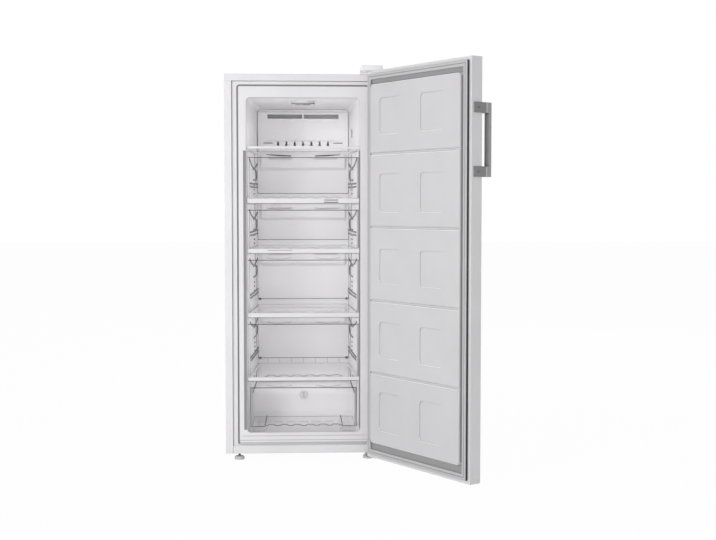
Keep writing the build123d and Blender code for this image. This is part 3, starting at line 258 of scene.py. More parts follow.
# Numbers of a coated finish: grey level, roughness, relief scale and depth, edge radius, and
# where they differ from the usual its coat and mottling. A metal has the first five, and a
# clear finish has its two opacities after the level.
looks = {
    "painted_sheet": coated("painted_sheet", 0.80, 0.34, 900.0, 0.00012, 0.0012, 0.25),
    "top_plastic": coated("top_plastic", 0.80, 0.42, 1400.0, 0.00012, 0.0012),
    "liner_plastic": coated("liner_plastic", 0.80, 0.40, 1100.0, 0.00010, 0.0015, 0.1),
    "foam": foam_material(),
    "galvanised_sheet": spangled("galvanised_sheet"),
    "clear_drawer": clear("clear_drawer", 0.95, 0.03, 0.1, 0.06, 60.0, 0.0004, 0.0008),
    "shelf_glass": clear("shelf_glass", 0.95, 0.04, 0.12, 0.03, 15.0, 0.0001, 0.0006),
    "shelf_trim_plastic": coated("shelf_trim_plastic", 0.80, 0.3, 1200.0, 0.00008, 0.001, 0.2),
    "lens_plastic": clear("lens_plastic", 0.5, 0.45, 0.9, 0.25, 300.0, 0.0006, 0.0008),
    "gasket_rubber": coated("gasket_rubber", 0.55, 0.62, 1500.0, 0.00015, 0.0008),
    "handle_plastic": coated("handle_plastic", 0.25, 0.33, 1800.0, 0.00006, 0.0015, 0.35, 0.06),
    "foot_plastic": coated("foot_plastic", 0.66, 0.5, 1200.0, 0.00015, 0.001),
    "roller_plastic": coated("roller_plastic", 0.2, 0.5, 1200.0, 0.00015, 0.0006),
    "black_paint": coated("black_paint", 0.022, 0.42, 700.0, 0.0003, 0.0015, 0.2, 0.3),
    "black_rubber": coated("black_rubber", 0.02, 0.78, 1500.0, 0.0003, 0.0006, 0.0, 0.3),
    "black_plastic": coated("black_plastic", 0.025, 0.5, 1500.0, 0.0002, 0.0008, 0.0, 0.2),
    "zinc_steel": metal("zinc_steel", 0.56, 0.36, 500.0, 0.0001, 0.0005),
    "aluminium": metal("aluminium", 0.8, 0.36, 400.0, 0.0001, 0.0004),
    "copper": metal("copper", 0.85, 0.32, 400.0, 0.0001, 0.0004, (1.0, 0.56, 0.38)),
}

for subpart in frame["record"]["subparts"]:
    thing = nodes[subpart["node"]]
    look = looks[subpart["material_slot"]]
    if not thing.material_slots:
        thing.data.materials.append(look)
    for material_slot in thing.material_slots:
        material_slot.material = look

# Finishes of the fine pieces that this script adds.
# Dark grey beads of painted shade: under the shelf trims, on the lamp's front rims and in the plug's slot.
painted_gap_shade = coated("painted_gap_shade", 0.2, 0.6, 1500.0, 0.0001, 0.0)
# Near-black and grey beads along the clear drawers' edges, ribs, flanges, lugs and grip rims: painted shade where
# the clear plastic's edges look dark.
dark_rim_shade = coated("dark_rim_shade", 0.055, 0.2, 400.0, 0.00005, 0.0, 0.5, 0.2)
grey_rim_shade = coated("grey_rim_shade", 0.3, 0.2, 400.0, 0.00005, 0.0, 0.5, 0.1)
# Mid-grey lines of painted shade: the sill's small steps, the evaporator cover's outline, a clip slot and the
# plug's rim.
line_shade = coated("line_shade", 0.42, 0.45, 900.0, 0.00005, 0.0)
# Near-white beads of painted highlight: the lower edges of the door's pads and grooves, the pan's top rim and the
# handle's joints.
painted_highlight = coated("painted_highlight", 0.95, 0.3, 900.0, 0.00005, 0.0, 0.3)
# Grey and near-black rubber finishes that are painted shade: the gasket's shaded faces, the rim between gasket and
# pan, and the pan's free side.
seal_mid_shade = coated("seal_mid_shade", 0.34, 0.62, 1500.0, 0.0001, 0.0)
seal_deep_shade = coated("seal_deep_shade", 0.05, 0.7, 1500.0, 0.0001, 0.0)
# Dark grey: painted shade in the groove round the mouth.
seam_shade_look = coated("seam_shade_strip", 0.24, 0.6, 1500.0, 0.0001, 0.0)
# Grey: painted shade on the ribs at the mouth's edges.
rib_shade = coated("rib_shade", 0.40, 0.5, 900.0, 0.00005, 0.0)
# Near-black, mostly painted shade: along the wall guides and studs, in clip slots, sensor slats, ledge marks and
# the first drawer's grips; also the lamp's small dark stud.
near_black_shade = coated("near_black_shade_line", 0.03, 0.5, 900.0, 0.00005, 0.0)
# Darker copy of the liner plastic: painted shade in the mouth groove's bottom and on the upper edges of the door's
# pads.
liner_painted_shade = coated("liner_painted_shade", 0.56, 0.42, 1100.0, 0.00008, 0.0)
# Dark grey: painted shade on the handle bar's inner face, along its brackets' edges and in the pan's hinge-side
# corners.
dark_edge_shade = coated("dark_edge_shade", 0.25, 0.5, 1400.0, 0.0001, 0.0005, 0.1, 0.08)
dark_steel = metal("dark_steel", 0.2, 0.4, 700.0, 0.0001, 0.0003)
# Lighter copy of the top cover's plastic: painted light on the hinge cover and the plate under it.
cover_lightened_white = coated("cover_lightened_white", 0.92, 0.42, 1400.0, 0.00012, 0.0012)

# Nodes that differ from the common finish of their slot.
own_finishes = {
    "handle_bar": coated("bar_finish", 0.36, 0.3, 1800.0, 0.00006, 0.0012, 0.4, 0.05),
    "handle_screws": dark_steel,
    "lamp_housing": coated("lamp_plastic", 0.56, 0.42, 1100.0, 0.00010, 0.0012),
    "duct_panel": coated("duct_plastic", 0.70, 0.40, 1100.0, 0.00010, 0.0015, 0.1),
    "sensor_cover": coated("sensor_plastic", 0.5, 0.45, 1100.0, 0.00010, 0.0008),
    "hinge_upper": coated("hinge_paint", 0.85, 0.4, 900.0, 0.0001, 0.0006),
    "hinge_cover": cover_lightened_white,
    "door_liner": coated("door_liner_plastic", 0.65, 0.42, 1100.0, 0.00010, 0.0015, 0.1),
}
for node, finish in own_finishes.items():
    nodes[node].material_slots[0].material = finish


# ---- shapes ----
def smoothed(data):
    """Smooth faces, with sharp corners kept."""
    data.polygons.foreach_set("use_smooth", [True] * len(data.polygons))
    data.set_sharp_from_angle(angle=SHARP_ANGLE)
    return data


def mesh_of(shape):
    """Turns a bmesh into mesh data."""
    bmesh.ops.recalc_face_normals(shape, faces=shape.faces)
    data = bpy.data.meshes.new("shape")
    shape.to_mesh(data)
    shape.free()
    return smoothed(data)


def loft(sections, loop=False):
    """Skin through closed outlines of equal point counts; its ends are capped or meet."""
    shape = bmesh.new()
    rows = [[shape.verts.new(point) for point in section] for section in sections]
    count = len(sections[0])
    pairs = list(zip(rows, rows[1:]))
    if loop:
        pairs.append((rows[-1], rows[0]))
    for first, second in pairs:
        for index in range(count):
            after = (index + 1) % count
            shape.faces.new((first[index], first[after], second[after], second[index]))
    if not loop:
        shape.faces.new(rows[0][::-1])
        shape.faces.new(rows[-1])
    return mesh_of(shape)


def upright(outline, bottom, top):
    """A prism between two heights, from (x, y) pairs."""
    return loft([[Vector((x, y, z)) for x, y in outline] for z in (bottom, top)])


def joined(shapes):
    """One mesh of several."""
    whole = bmesh.new()
    for data in shapes:
        whole.from_mesh(data)
        bpy.data.meshes.remove(data)
    return mesh_of(whole)


def beads(paths, radius, smooth=False, closed=False):
    """Round beads along lists of points, straight or drawn smooth."""
    data = bpy.data.curves.new("path", "CURVE")
    data.dimensions = "3D"
    data.bevel_depth = radius
    data.bevel_resolution = 2
    data.use_fill_caps = True
    for path in paths:
        spline = data.splines.new("NURBS" if smooth else "POLY")
        spline.points.add(len(path) - 1)
        for point, place in zip(spline.points, path):
            point.co = (*place, 1.0)
        spline.use_cyclic_u = closed
        if smooth:
            spline.order_u = 3
            spline.use_endpoint_u = not closed
            spline.resolution_u = 5
    holder = bpy.data.objects.new("path", data)
    made = bpy.data.meshes.new_from_object(holder)
    bpy.data.objects.remove(holder)
    bpy.data.curves.remove(data)
    return smoothed(made)


def bar(corner_low, corner_high, round_off):
    """A bar between two corners with rounded edges."""
    shape = bmesh.new()
    bmesh.ops.create_cube(shape, size=1.0)
    middle = (Vector(corner_low) + Vector(corner_high)) / 2
    size = Vector(corner_high) - Vector(corner_low)
    for vertex in shape.verts:
        vertex.co = Vector([vertex.co[axis] * size[axis] for axis in range(3)]) + middle
    bmesh.ops.bevel(
        shape, geom=shape.edges[:], offset=round_off, segments=3, profile=0.5, affect="EDGES"
    )
    return mesh_of(shape)


def turned(profile, centre, direction=(0, 0, 1), steps=28):
    """A turned shape: (radius, height) pairs about an axis through centre."""
    turn = Vector((0, 0, 1)).rotation_difference(Vector(direction)).to_matrix()
    sections = []
    for radius, height in profile:
        circle = [
            Vector((radius * math.cos(angle), radius * math.sin(angle), height))
            for angle in (math.tau * index / steps for index in range(steps))
        ]
        sections.append([Vector(centre) + turn @ point for point in circle])
    return loft(sections)


def rounded_frame(half, z0, z1, corner, y):
    """Points of a rounded rectangle that stands in the plane y."""
    points = []
    middles = ((half - corner, z1 - corner), (corner - half, z1 - corner),
               (corner - half, z0 + corner), (half - corner, z0 + corner))
    for quarter, (x, z) in enumerate(middles):
        for step in range(CORNER_STEPS + 1):
            angle = math.pi / 2 * (quarter + step / CORNER_STEPS)
            points.append(Vector((x + corner * math.cos(angle), y, z + corner * math.sin(angle))))
    return points


def across(half, y, z):
    """A path straight across the middle plane."""
    return [(-half, y, z), (half, y, z)]


def both_sides(path):
    """A path and its mirror image."""
    return [path, [(-x, y, z) for x, y, z in path]]


def add(name, data, look, body):
    """Makes a mesh a piece that rides on a body."""
    piece = bpy.data.objects.new(name, data)
    bpy.context.collection.objects.link(piece)
    data.materials.append(look)
    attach(piece, body)
    return piece


def add_to_door(name, data, look):
    """The same for a shape drawn with the door shut."""
    data.transform(TO_OPEN)
    return add(name, data, look, "door")


# ---- the cabinet's front ----
# The groove round the mouth: half width, lower edge, and upper edge below the liner's top.
GROOVE_OUTER = (0.2533, 0.0622, 12.7 * MM)
GROOVE_INNER = (0.2472, 0.0718, 18.8 * MM)
GROOVE_CORNER = 4 * MM
GROOVE_DEPTH, SEAM_SHADE_DEPTH = 6.8 * MM, 3.2 * MM  # behind the frame's face
STRIP_PLAY = 0.2 * MM
SILL_BEADS = ((0.247, 0.0800), (0.236, 0.0965))  # half length and height of each
RIB_STRIPS = ((-0.2294, 2.7 * MM), (0.2150, 0.8 * MM))  # X of the first rib, width of each
RIBS_IN_STRIP = 4
RIB_BOTTOM, RIB_TOP = 0.121, 1.196
HOOD_FLOOR = 1.4932  # just above the door's top edge
HOOD_INSET = 2.5 * MM
HOOD_PLATE_REAR = -0.300
HOOD_APRON_FRONT, HOOD_APRON_REAR = -0.2970, -0.2950


def seam_shade_strip():
    """Dark grey strip of painted shade that fills the groove round the mouth, and a darker liner strip of painted
    shade along its bottom.
    """
    frame_face, top = low("inner_liner").y, high("inner_liner").z
    back, face = frame_face + GROOVE_DEPTH, frame_face + SEAM_SHADE_DEPTH
    rings = []
    for (half, bottom, drop), y in ((GROOVE_OUTER, back), (GROOVE_OUTER, face),
                                    (GROOVE_INNER, face), (GROOVE_INNER, back)):
        rings.append(rounded_frame(half, bottom, top - drop, GROOVE_CORNER, y))
    add("mouth_seam_shade", loft(rings, loop=True), seam_shade_look, "cabinet")
    half = GROOVE_INNER[0]
    drip = bar((-half, face - 1.2 * MM, GROOVE_OUTER[1] + STRIP_PLAY),
               (half, face + 1.0 * MM, GROOVE_INNER[1] - STRIP_PLAY), 0.4 * MM)
    add("mouth_groove_shade", drip, liner_painted_shade, "cabinet")


def sill_lines():
    """Two fine beads across the sill below the mouth, in grey: painted shade of two small steps."""
    face = low("inner_liner").y
    lines = [across(half, face, z) for half, z in SILL_BEADS]
    add("sill_beads", beads(lines, 0.9 * MM), line_shade, "cabinet")


def mouth_ribs():
    """Strips of upright ribs on both edges of the mouth, in grey: painted shade at the mouth's edges."""
    face = low("inner_liner").y
    strips = []
    for start, width in RIB_STRIPS:
        for index in range(RIBS_IN_STRIP):
            x0, x1 = start + width * index, start + width * (index + 1)
            outline = ((x0, face - 1.7 * MM), (x1, face - 0.1 * MM),
                       (x1, face + 0.6 * MM), (x0, face + 0.6 * MM))
            strips.append(upright(outline, RIB_BOTTOM, RIB_TOP))
    add("mouth_ribs", joined(strips), rib_shade, "cabinet")


def hinge_hood_floor():
    """Closes the hinge cover underneath: a plate over the door and an apron on the top cover."""
    cover_low, cover_high = low("hinge_cover"), high("hinge_cover")
    left, right = cover_low.x + HOOD_INSET, cover_high.x - HOOD_INSET
    plate = bar((left, cover_low.y + HOOD_INSET, HOOD_FLOOR),
                (right, HOOD_PLATE_REAR, HOOD_FLOOR + 1.6 * MM), 0.3 * MM)
    apron = bar((left, HOOD_APRON_FRONT, high("top_cover").z + 0.2 * MM),
                (right, HOOD_APRON_REAR, HOOD_FLOOR + MM), 0.3 * MM)
    add("hinge_cover_floor", joined([plate, apron]), cover_lightened_white, "cabinet")


# ---- inside the cavity ----
WALL_HALF_FRONT, WALL_HALF_REAR = 0.218, 0.1918  # half the cavity's width at its two ends
WALL_FRONT, WALL_REAR = -0.287, 0.175
# Guides on the side walls as (depth, height) pairs. The sweeps are measured from the top of the
# drawer beside them, the rails from its bottom, and the step's line from the floor.
GUIDE_SWEEPS = (
    ((-0.175, -0.024), (-0.10, -0.046), (-0.02, -0.054), (0.06, -0.055), (0.15, -0.034)),
    ((-0.025, -0.060), (0.06, -0.060), (0.115, -0.064), (0.12, -0.085), (0.10, -0.104),
     (0.045, -0.103), (-0.018, -0.104)),
)
GUIDE_RAILS = (
    ((-0.148, 0.060), (0.02, 0.061), (0.17, 0.064)),
    ((-0.145, 0.048), (0.02, 0.047), (0.17, 0.050)),
)
STEP_LINE = ((0.150, 0.306), (0.110, 0.300), (0.073, 0.290), (0.066, 0.271),
             (0.072, 0.250), (-0.012, 0.242), (-0.086, 0.233))
STUD_DEPTH, STUD_DROP, STUD_PITCH, STUDS_IN_ROW = 0.015, 0.126, 0.017, 3
STUD_PROFILE = ((3.6 * MM, -1.0 * MM), (3.6 * MM, 2.2 * MM), (2.4 * MM, 3.0 * MM))


def on_wall(y, z, side):
    """A point just inside a side wall."""
    share = (y - WALL_FRONT) / (WALL_REAR - WALL_FRONT)
    return (side * (between(WALL_HALF_FRONT, WALL_HALF_REAR, share) - 0.8 * MM), y, z)


def wall_paths(points, base=0.0):
    """The same path on both side walls, from (depth, height above base) pairs."""
    return [[on_wall(y, base + z, side) for y, z in points] for side in (-1, 1)]


def wall_guides():
    """Moulded guides and studs on the liner's side walls, beside all drawers but the last, in near-black as
    painted shade along them.
    """
    swept, rails, studs = [], [], []
    for name in DRAWERS[:-1]:
        top, bottom = high(name).z, low(name).z
        for sweep in GUIDE_SWEEPS:
            swept += wall_paths(sweep, top)
        for rail in GUIDE_RAILS:
            rails += wall_paths(rail, bottom)
        for step in range(STUDS_IN_ROW):
            height = top - STUD_DROP - STUD_PITCH * step
            for side in (-1, 1):
                place = on_wall(STUD_DEPTH, height, side)
                studs.append(turned(STUD_PROFILE, place, (-side, 0, 0), 16))
    swept += wall_paths(STEP_LINE)
    guides = [beads(swept, 3.2 * MM, smooth=True), beads(rails, 3.4 * MM)]
    add("wall_guides", joined(guides), near_black_shade, "cabinet")
    add("wall_studs", joined(studs), near_black_shade, "cabinet")


# A drawer's box behind its lip. Its sides step down behind BENCH_START, and its flange stands
# just behind the plane FLANGE.
BOX_FRONT, BOX_DEPTH = -0.268, 0.402
BOX_HALF_FRONT, BOX_HALF_REAR, LAST_BOX_HALF = 0.2071, 0.1882, 0.1981
BENCH_START, BENCH_END, BACK_START = -0.026, 0.086, 0.124
BENCH_RISE, BACK_RISE, LAST_FLOOR_RISE = 0.062, 0.024, 0.021
FLANGE = -0.2705
LIP_LINE = 0.024  # below the top
WAVE_PITCH, WAVES = 0.050, 6
WAVE_END = 0.150
SKID_END = 0.198
SKID_CORNER = ((0.142, 0.042), (0.147, 0.020), (0.150, 0.003))  # X, and height over the floor


def drawer_half(name, y):
    """Half the outside width of a drawer's box at a depth."""
    if name == DRAWERS[-1]:
        return LAST_BOX_HALF
    return between(BOX_HALF_FRONT, BOX_HALF_REAR, (y - BOX_FRONT) / BOX_DEPTH)


def box_sides(name, points):
    """The same line on both sides of a drawer's box, from (depth, height) pairs."""
    return both_sides([(drawer_half(name, y), y, z) for y, z in points])


def wave_line(floor):
    """The corrugated front edge of a drawer's bottom."""
    low_z, high_z = floor + 2 * MM, floor + 6 * MM
    wave = []
    for rib in range(WAVES):
        middle = (rib - (WAVES - 1) / 2) * WAVE_PITCH
        wave += [(middle - 0.025, low_z), (middle - 0.015, low_z), (middle - 0.013, high_z),
                 (middle + 0.013, high_z), (middle + 0.015, low_z)]
    wave.append((WAVE_END, low_z))
    return [(x, BOX_FRONT + 2 * MM, z) for x, z in wave]


def last_drawer_lines(floor, bottom, half, under_lip):
    """Strong and soft lines that only the last drawer has, with its raised floor and skids."""
    face = FLANGE - 0.5 * MM
    strong = both_sides([(half, face, under_lip), (half, face, floor), (WAVE_END, face, floor)])
    strong += both_sides([(x, FLANGE + 0.5 * MM, floor + rise) for x, rise in SKID_CORNER])
    soft = []
    for step in (-2, -1, 0, 1, 2):
        middle = step * WAVE_PITCH
        soft.append([(middle + reach, -0.200, floor + 0.006) for reach in (-0.016, 0.016)])
    soft += both_sides([(x, -0.262, bottom + MM) for x in (WAVE_END, SKID_END)])
    return strong, soft


def drawer_edges(name, number):
    """Edges, ribs, flange and lugs of a clear drawer, drawn as dark beads: painted shade where the clear plastic's
    edges look dark.
    """
    bottom, top = low(name).z, high(name).z
    lip, rear = low(name).y, high(name).y
    last = name == DRAWERS[-1]
    floor = bottom + (LAST_FLOOR_RISE if last else 0.0)
    bench, back = bottom + BENCH_RISE, bottom + BACK_RISE
    under_lip = top - LIP_LINE
    outer = high(name).x
    half, rear_half = outer - 0.5 * MM, drawer_half(name, rear)

    soft = box_sides(name, [(BOX_FRONT, floor + MM), (rear, floor + MM)])
    soft.append(across(rear_half, rear - MM, floor + MM))
    soft.append([(-half, FLANGE, floor), (-half, FLANGE, top),
                 (half, FLANGE, top), (half, FLANGE, floor)])
    front_half, front = drawer_half(name, BOX_FRONT), BOX_FRONT + MM
    soft += both_sides([(front_half, front, floor), (front_half, front, top - 0.026)])
    if last:
        strong = box_sides(name, [(BOX_FRONT, top), (rear - 0.03, top), (rear, top - 0.02)])
        strong.append(across(rear_half, rear, top - 0.02))
        more_strong, more_soft = last_drawer_lines(floor, bottom, half, under_lip)
        strong += more_strong
        soft += more_soft
    else:
        slope_end = BENCH_START + (top - bench) / 2
        strong = box_sides(name, [(BOX_FRONT, top), (BENCH_START, top), (slope_end, bench),
                                  (BENCH_END, bench), (BACK_START, back), (rear, back)])
        strong.append(across(rear_half, rear - MM, back))
        start_half = drawer_half(name, BENCH_START)
        strong.append([(-start_half, BENCH_START, top), (-start_half + 0.004, BENCH_START, top)])
    strong.append(across(half, lip + 0.4 * MM, under_lip))
    (strong if number >= 4 else soft).append(wave_line(floor))
    if number == 4:
        for step in range(-3, 4):
            x, y = step * WAVE_PITCH, rear - 2 * MM
            soft.append([(x, y, floor + 2 * MM), (x, y, back)])

    flange = bar((outer - 5 * MM, FLANGE - 1.1 * MM, floor + 2 * MM),
                 (outer - 0.4 * MM, FLANGE - 0.1 * MM, under_lip - MM), 0.3 * MM)
    add("drawer_flange_" + str(number), flange, grey_rim_shade, name)
    if number in (3, 4):
        lugs = [bar((x, rear - 7 * MM, back - 5 * MM), (x + 0.010, rear - MM, back + 5 * MM), MM)
                for x in (-0.186, 0.176)]
        add("drawer_lugs_" + str(number), joined(lugs), dark_rim_shade, name)
    radius = (1.5 if last else 1.25) * MM
    add("drawer_edges_" + str(number), beads(strong, radius), dark_rim_shade, name)
    ribs = beads(soft, 0.8 * MM)
    add("drawer_ribs_" + str(number), ribs, grey_rim_shade, name)


GRIP_INNER, GRIP_OUTER = 0.046, 0.142  # X of a finger slot's ends
# Outlines of a finger slot: X, and distance below the drawer's top.
GRIP_SMILE = ((GRIP_INNER, 0.0145), (GRIP_INNER + 0.022, 0.0185),
              (between(GRIP_INNER, GRIP_OUTER, 0.5), 0.0200),
              (GRIP_OUTER - 0.022, 0.0185), (GRIP_OUTER, 0.0145))
GRIP_WEDGE = ((GRIP_OUTER, 0.0120), (GRIP_OUTER - 0.030, 0.0132), (GRIP_INNER, 0.0160),
              (GRIP_INNER, 0.0205), (GRIP_OUTER - 0.045, 0.0188), (GRIP_OUTER - 0.022, 0.0166),
              (GRIP_OUTER, 0.0140))


def drawer_grips(name, number):
    """Finger slots in a drawer's lip: near-black wedges of painted shade in the first drawer, fine grey rims of
    painted shade in the rest.
    """
    top, face = high(name).z, low(name).y
    if number > 1:
        paths = both_sides([(x, face + MM, top - drop) for x, drop in GRIP_SMILE])
        grips, look = beads(paths, 0.9 * MM, smooth=True), grey_rim_shade
    else:
        wedges = []
        for side in (-1, 1):
            wedges.append(loft([[Vector((side * x, y, top - drop)) for x, drop in GRIP_WEDGE]
                                for y in (face - 0.3 * MM, face + MM)]))
        grips, look = joined(wedges), near_black_shade
    add("drawer_grips_" + str(number), grips, look, name)


# Clip slots in the trims of the second and third shelf: (left, right, bottom, top).
DARK_SLOTS = ((0.0800, 0.1345, 1.0055, 1.0085), (0.0800, 0.1345, 0.9970, 1.0000))
PALE_SLOT = (-0.137, -0.043, 0.8120, 0.8152)


def trim_edges():
    """Shadow lines under the shelf trims."""
    lines = []
    for number in range(2, 6):
        trim = "shelf_trim_" + str(number)
        y, z = low(trim).y + 0.8 * MM, low(trim).z
        lines.append([(low(trim).x + MM, y, z), (high(trim).x - MM, y, z)])
    add("trim_shadows", beads(lines, 0.8 * MM), painted_gap_shade, "cabinet")


def trim_slot(slot, trim):
    """A thin bar let into the face of a shelf trim."""
    left, right, bottom, top = slot
    face = low(trim).y
    return bar((left, face - 0.3 * MM, bottom), (right, face + 0.6 * MM, top), 0.25 * MM)


def trim_slots():
    """Clip slots in two of the shelf trims, as thin bars of painted shade: near-black in the second trim, mid-grey
    in the third.
    """
    dark = joined([trim_slot(slot, "shelf_trim_2") for slot in DARK_SLOTS])
    add("trim_slots_2", dark, near_black_shade, "cabinet")
    pale = trim_slot(PALE_SLOT, "shelf_trim_3")
    add("trim_slot_3", pale, line_shade, "cabinet")


def oval_front(node, rise):
    """The front half of an upright oval's edge, a height above the bottom of its box."""
    lowest, highest = low(node), high(node)
    middle, reach = (lowest + highest) / 2, (highest - lowest) / 2
    half_x, half_y = reach.x - 0.4 * MM, reach.y - 0.4 * MM
    angles = [math.pi * (1 + step / 24) for step in range(25)]
    return [(middle.x + half_x * math.cos(angle), middle.y + half_y * math.sin(angle),
             lowest.z + rise) for angle in angles]


def lamp_details():
    """Dark grey rims of painted shade on the front of the ceiling lamp's housing and lens, and a small dark stud
    in front.
    """
    housing = low("lamp_housing")
    rim = beads([oval_front("lamp_housing", 2.2 * MM)], 1.8 * MM)
    add("lamp_rim", rim, painted_gap_shade, "cabinet")
    lens_rim = beads([oval_front("lamp_lens", 1.2 * MM)], 1.2 * MM)
    add("lamp_lens_rim", lens_rim, painted_gap_shade, "cabinet")
    profile = ((2.4 * MM, 0), (2.4 * MM, 1.0 * MM), (1.4 * MM, 1.8 * MM))
    place = (0.006, housing.y + 4 * MM, housing.z + 0.2 * MM)
    stud = turned(profile, place, (0, 0, -1), 16)
    add("lamp_stud", stud, near_black_shade, "cabinet")


def cover_seams():
    """Painted shadow line round the evaporator cover, ledge marks of painted shade below it, and slats of painted
    shade on the sensor cover.
    """
    cover_low, cover_high = low("evaporator_cover"), high("evaporator_cover")
    face = cover_low.y + 0.2 * MM
    left, right = cover_low.x + MM, cover_high.x - MM
    bottom, top = cover_low.z, cover_high.z - 0.01
    outline = [(left, face, bottom), (left, face, top), (right, face, top), (right, face, bottom)]
    add("cover_seam", beads([outline], 0.9 * MM), line_shade, "cabinet")
    marks = both_sides([(x, face, bottom + 0.036) for x in (0.128, 0.166)])
    add("ledge_marks", beads(marks, 1.3 * MM), near_black_shade, "cabinet")
    sensor_low, sensor_high = low("sensor_cover"), high("sensor_cover")
    x, rise = sensor_low.x + 0.2 * MM, 3 * MM
    slats = []
    for step in range(5):
        z = between(sensor_low.z + 5 * MM, sensor_high.z - 5 * MM, step / 4)
        slats.append([(x, sensor_low.y + MM, z - rise), (x, sensor_high.y - MM, z + rise)])
    add("sensor_slats", beads(slats, 1.6 * MM), near_black_shade, "cabinet")


PLUG_CURVE = ((-6, 3), (-5, 8), (0, 9), (4, 5), (0, 0), (-4, -5), (0, -9), (5, -8), (6, -3))  # mm


def plug_slot():
    """Curved turning slot and rim of the blanking plug on the hump, as beads of painted shade: dark grey in the
    slot, mid-grey round the rim.
    """
    plug_low, plug_high = low("hump_plug"), high("hump_plug")
    face, middle = plug_low.y, (plug_low.z + plug_high.z) / 2
    radius = plug_high.x - 2.2 * MM
    ring = []
    for step in range(32):
        angle = math.tau * step / 32
        ring.append((radius * math.cos(angle), face + 0.2 * MM, middle + radius * math.sin(angle)))
    slot = [(x * MM, face + 0.1 * MM, middle + z * MM) for x, z in PLUG_CURVE]
    rim = beads([ring], 0.8 * MM, closed=True)
    add("plug_rim", rim, line_shade, "cabinet")
    groove = beads([slot], 1.0 * MM, smooth=True)
    add("plug_slot", groove, painted_gap_shade, "cabinet")


# ---- the door, drawn shut ----
# The gasket's section in mm: the tone of the faces that start at the (inward, height) pairs; pale is the rubber's
# own grey, mid and dark are painted shade.
DARK, MID, PALE = range(3)
GASKET_SECTION = (
    (DARK, ((1.0, 0.0), (0.2, 1.6), (2.2, 3.2), (0.2, 4.8), (2.2, 6.4), (0.6, 8.0))),
    (PALE, ((0.6, 9.6), (1.6, 10.5))),
    (MID, ((9.5, 10.5), (10.3, 9.3), (11.6, 9.3))),
    (PALE, ((12.4, 10.5), (20.0, 10.5))),
    (MID, ((21.4, 9.8), (21.4, 8.0), (19.8, 6.4), (21.8, 4.8), (19.8, 3.2), (21.8, 1.6),
           (21.0, 0.0))),
)
RIM_SHADE_START = 21.6 * MM  # inward of the gasket's outline
PAN_EDGE = (0.2623, 0.0817, 1.4423, 12 * MM)  # half width, bottom, top and corner of the pan


def make_gasket():
    """Pleated hollow gasket with two sealing lips; its outer pleats are near-black and some inner faces grey, as
    painted shade. It takes the place of the plain ring.
    """
    lowest, highest = shut_box("door_gasket")
    rings, shades = [], []
    for shade, points in GASKET_SECTION:
        for inward, height in points:
            inset = inward * MM
            rings.append(rounded_frame(highest.x - inset, lowest.z + inset, highest.z - inset,
                                       max(5 * MM - inset, MM), lowest.y + height * MM))
            shades.append(shade)
    data = loft(rings, loop=True)
    count = len(rings[0])
    for index, polygon in enumerate(data.polygons):
        polygon.material_index = shades[index // count]
    ring = add_to_door("door_gasket_pleated", data, seal_deep_shade)
    data.materials.append(seal_mid_shade)
    data.materials.append(looks["gasket_rubber"])
    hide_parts("door_gasket")


def gasket_rim_shade():
    """Grey ring of painted shade over the flat rim between the gasket and the raised pan."""
    lowest, highest = shut_box("door_gasket")
    edge = (highest.x - RIM_SHADE_START, lowest.z + RIM_SHADE_START, highest.z - RIM_SHADE_START, 3 * MM)
    base, top = lowest.y + 0.2 * MM, lowest.y + 3.6 * MM
    rings = [rounded_frame(*edge, base), rounded_frame(*edge, top),
             rounded_frame(*PAN_EDGE, top), rounded_frame(*PAN_EDGE, base)]
    add_to_door("gasket_rim_shade", loft(rings, loop=True), seal_mid_shade)


PAN_FACE = -0.291
PAD_TOPS = (1.384, 1.102, 0.823, 0.549, 0.284)
PAD_HEIGHTS = (0.134, 0.140, 0.127, 0.132, 0.145)
PAD_DEEP_EDGES = (0.201, -0.041)
PAD_REACH = 0.118
PAD_CORNER = 0.012
GROOVES = (1.179, 0.9045, 0.628, 0.353)
GROOVE_HALF, GROOVE_RISE = 0.252, 0.0055  # half the length, half the width
RIM_HALF, RIM_HEIGHT = 0.250, 1.4370
# The pan's side at the free edge in plan, with the heights where its painted shade ends.
FLANK = ((-0.2625, -0.3068), (-0.2595, -0.2945), (-0.2585, -0.2945), (-0.2615, -0.3068))
FLANK_BOTTOM, FLANK_TOP = 0.096, 1.430
# Dark blocks of painted shade in the pan's corners at the hinge side.
SHADE_BLOCK_LEFT, SHADE_BLOCK_RIGHT, SHADE_BLOCK_FRONT, SHADE_BLOCK_REAR = 0.2570, 0.2630, -0.3066, -0.2925
SHADE_BLOCK_HEIGHT, SHADE_BLOCK_BOTTOMS = 0.017, (0.0815, 1.4255)


def pad_edges(deep, bottom, top):
    """The upper edge, painted in shade, and the lower edge, painted as a highlight, of one wedge-shaped pad."""
    start, turn, side = deep - PAD_REACH, deep - PAD_CORNER, deep + MM
    shaded = [(start, top + MM), (turn, top + MM), (deep - 0.003, top - 0.003),
              (side, top - PAD_CORNER), (side, bottom + PAD_CORNER)]
    bright = [(side, bottom + 0.011), (deep - 0.003, bottom + 0.002),
              (turn, bottom - MM), (start, bottom - MM)]
    return [[(x, PAN_FACE, z) for x, z in line] for line in (shaded, bright)]


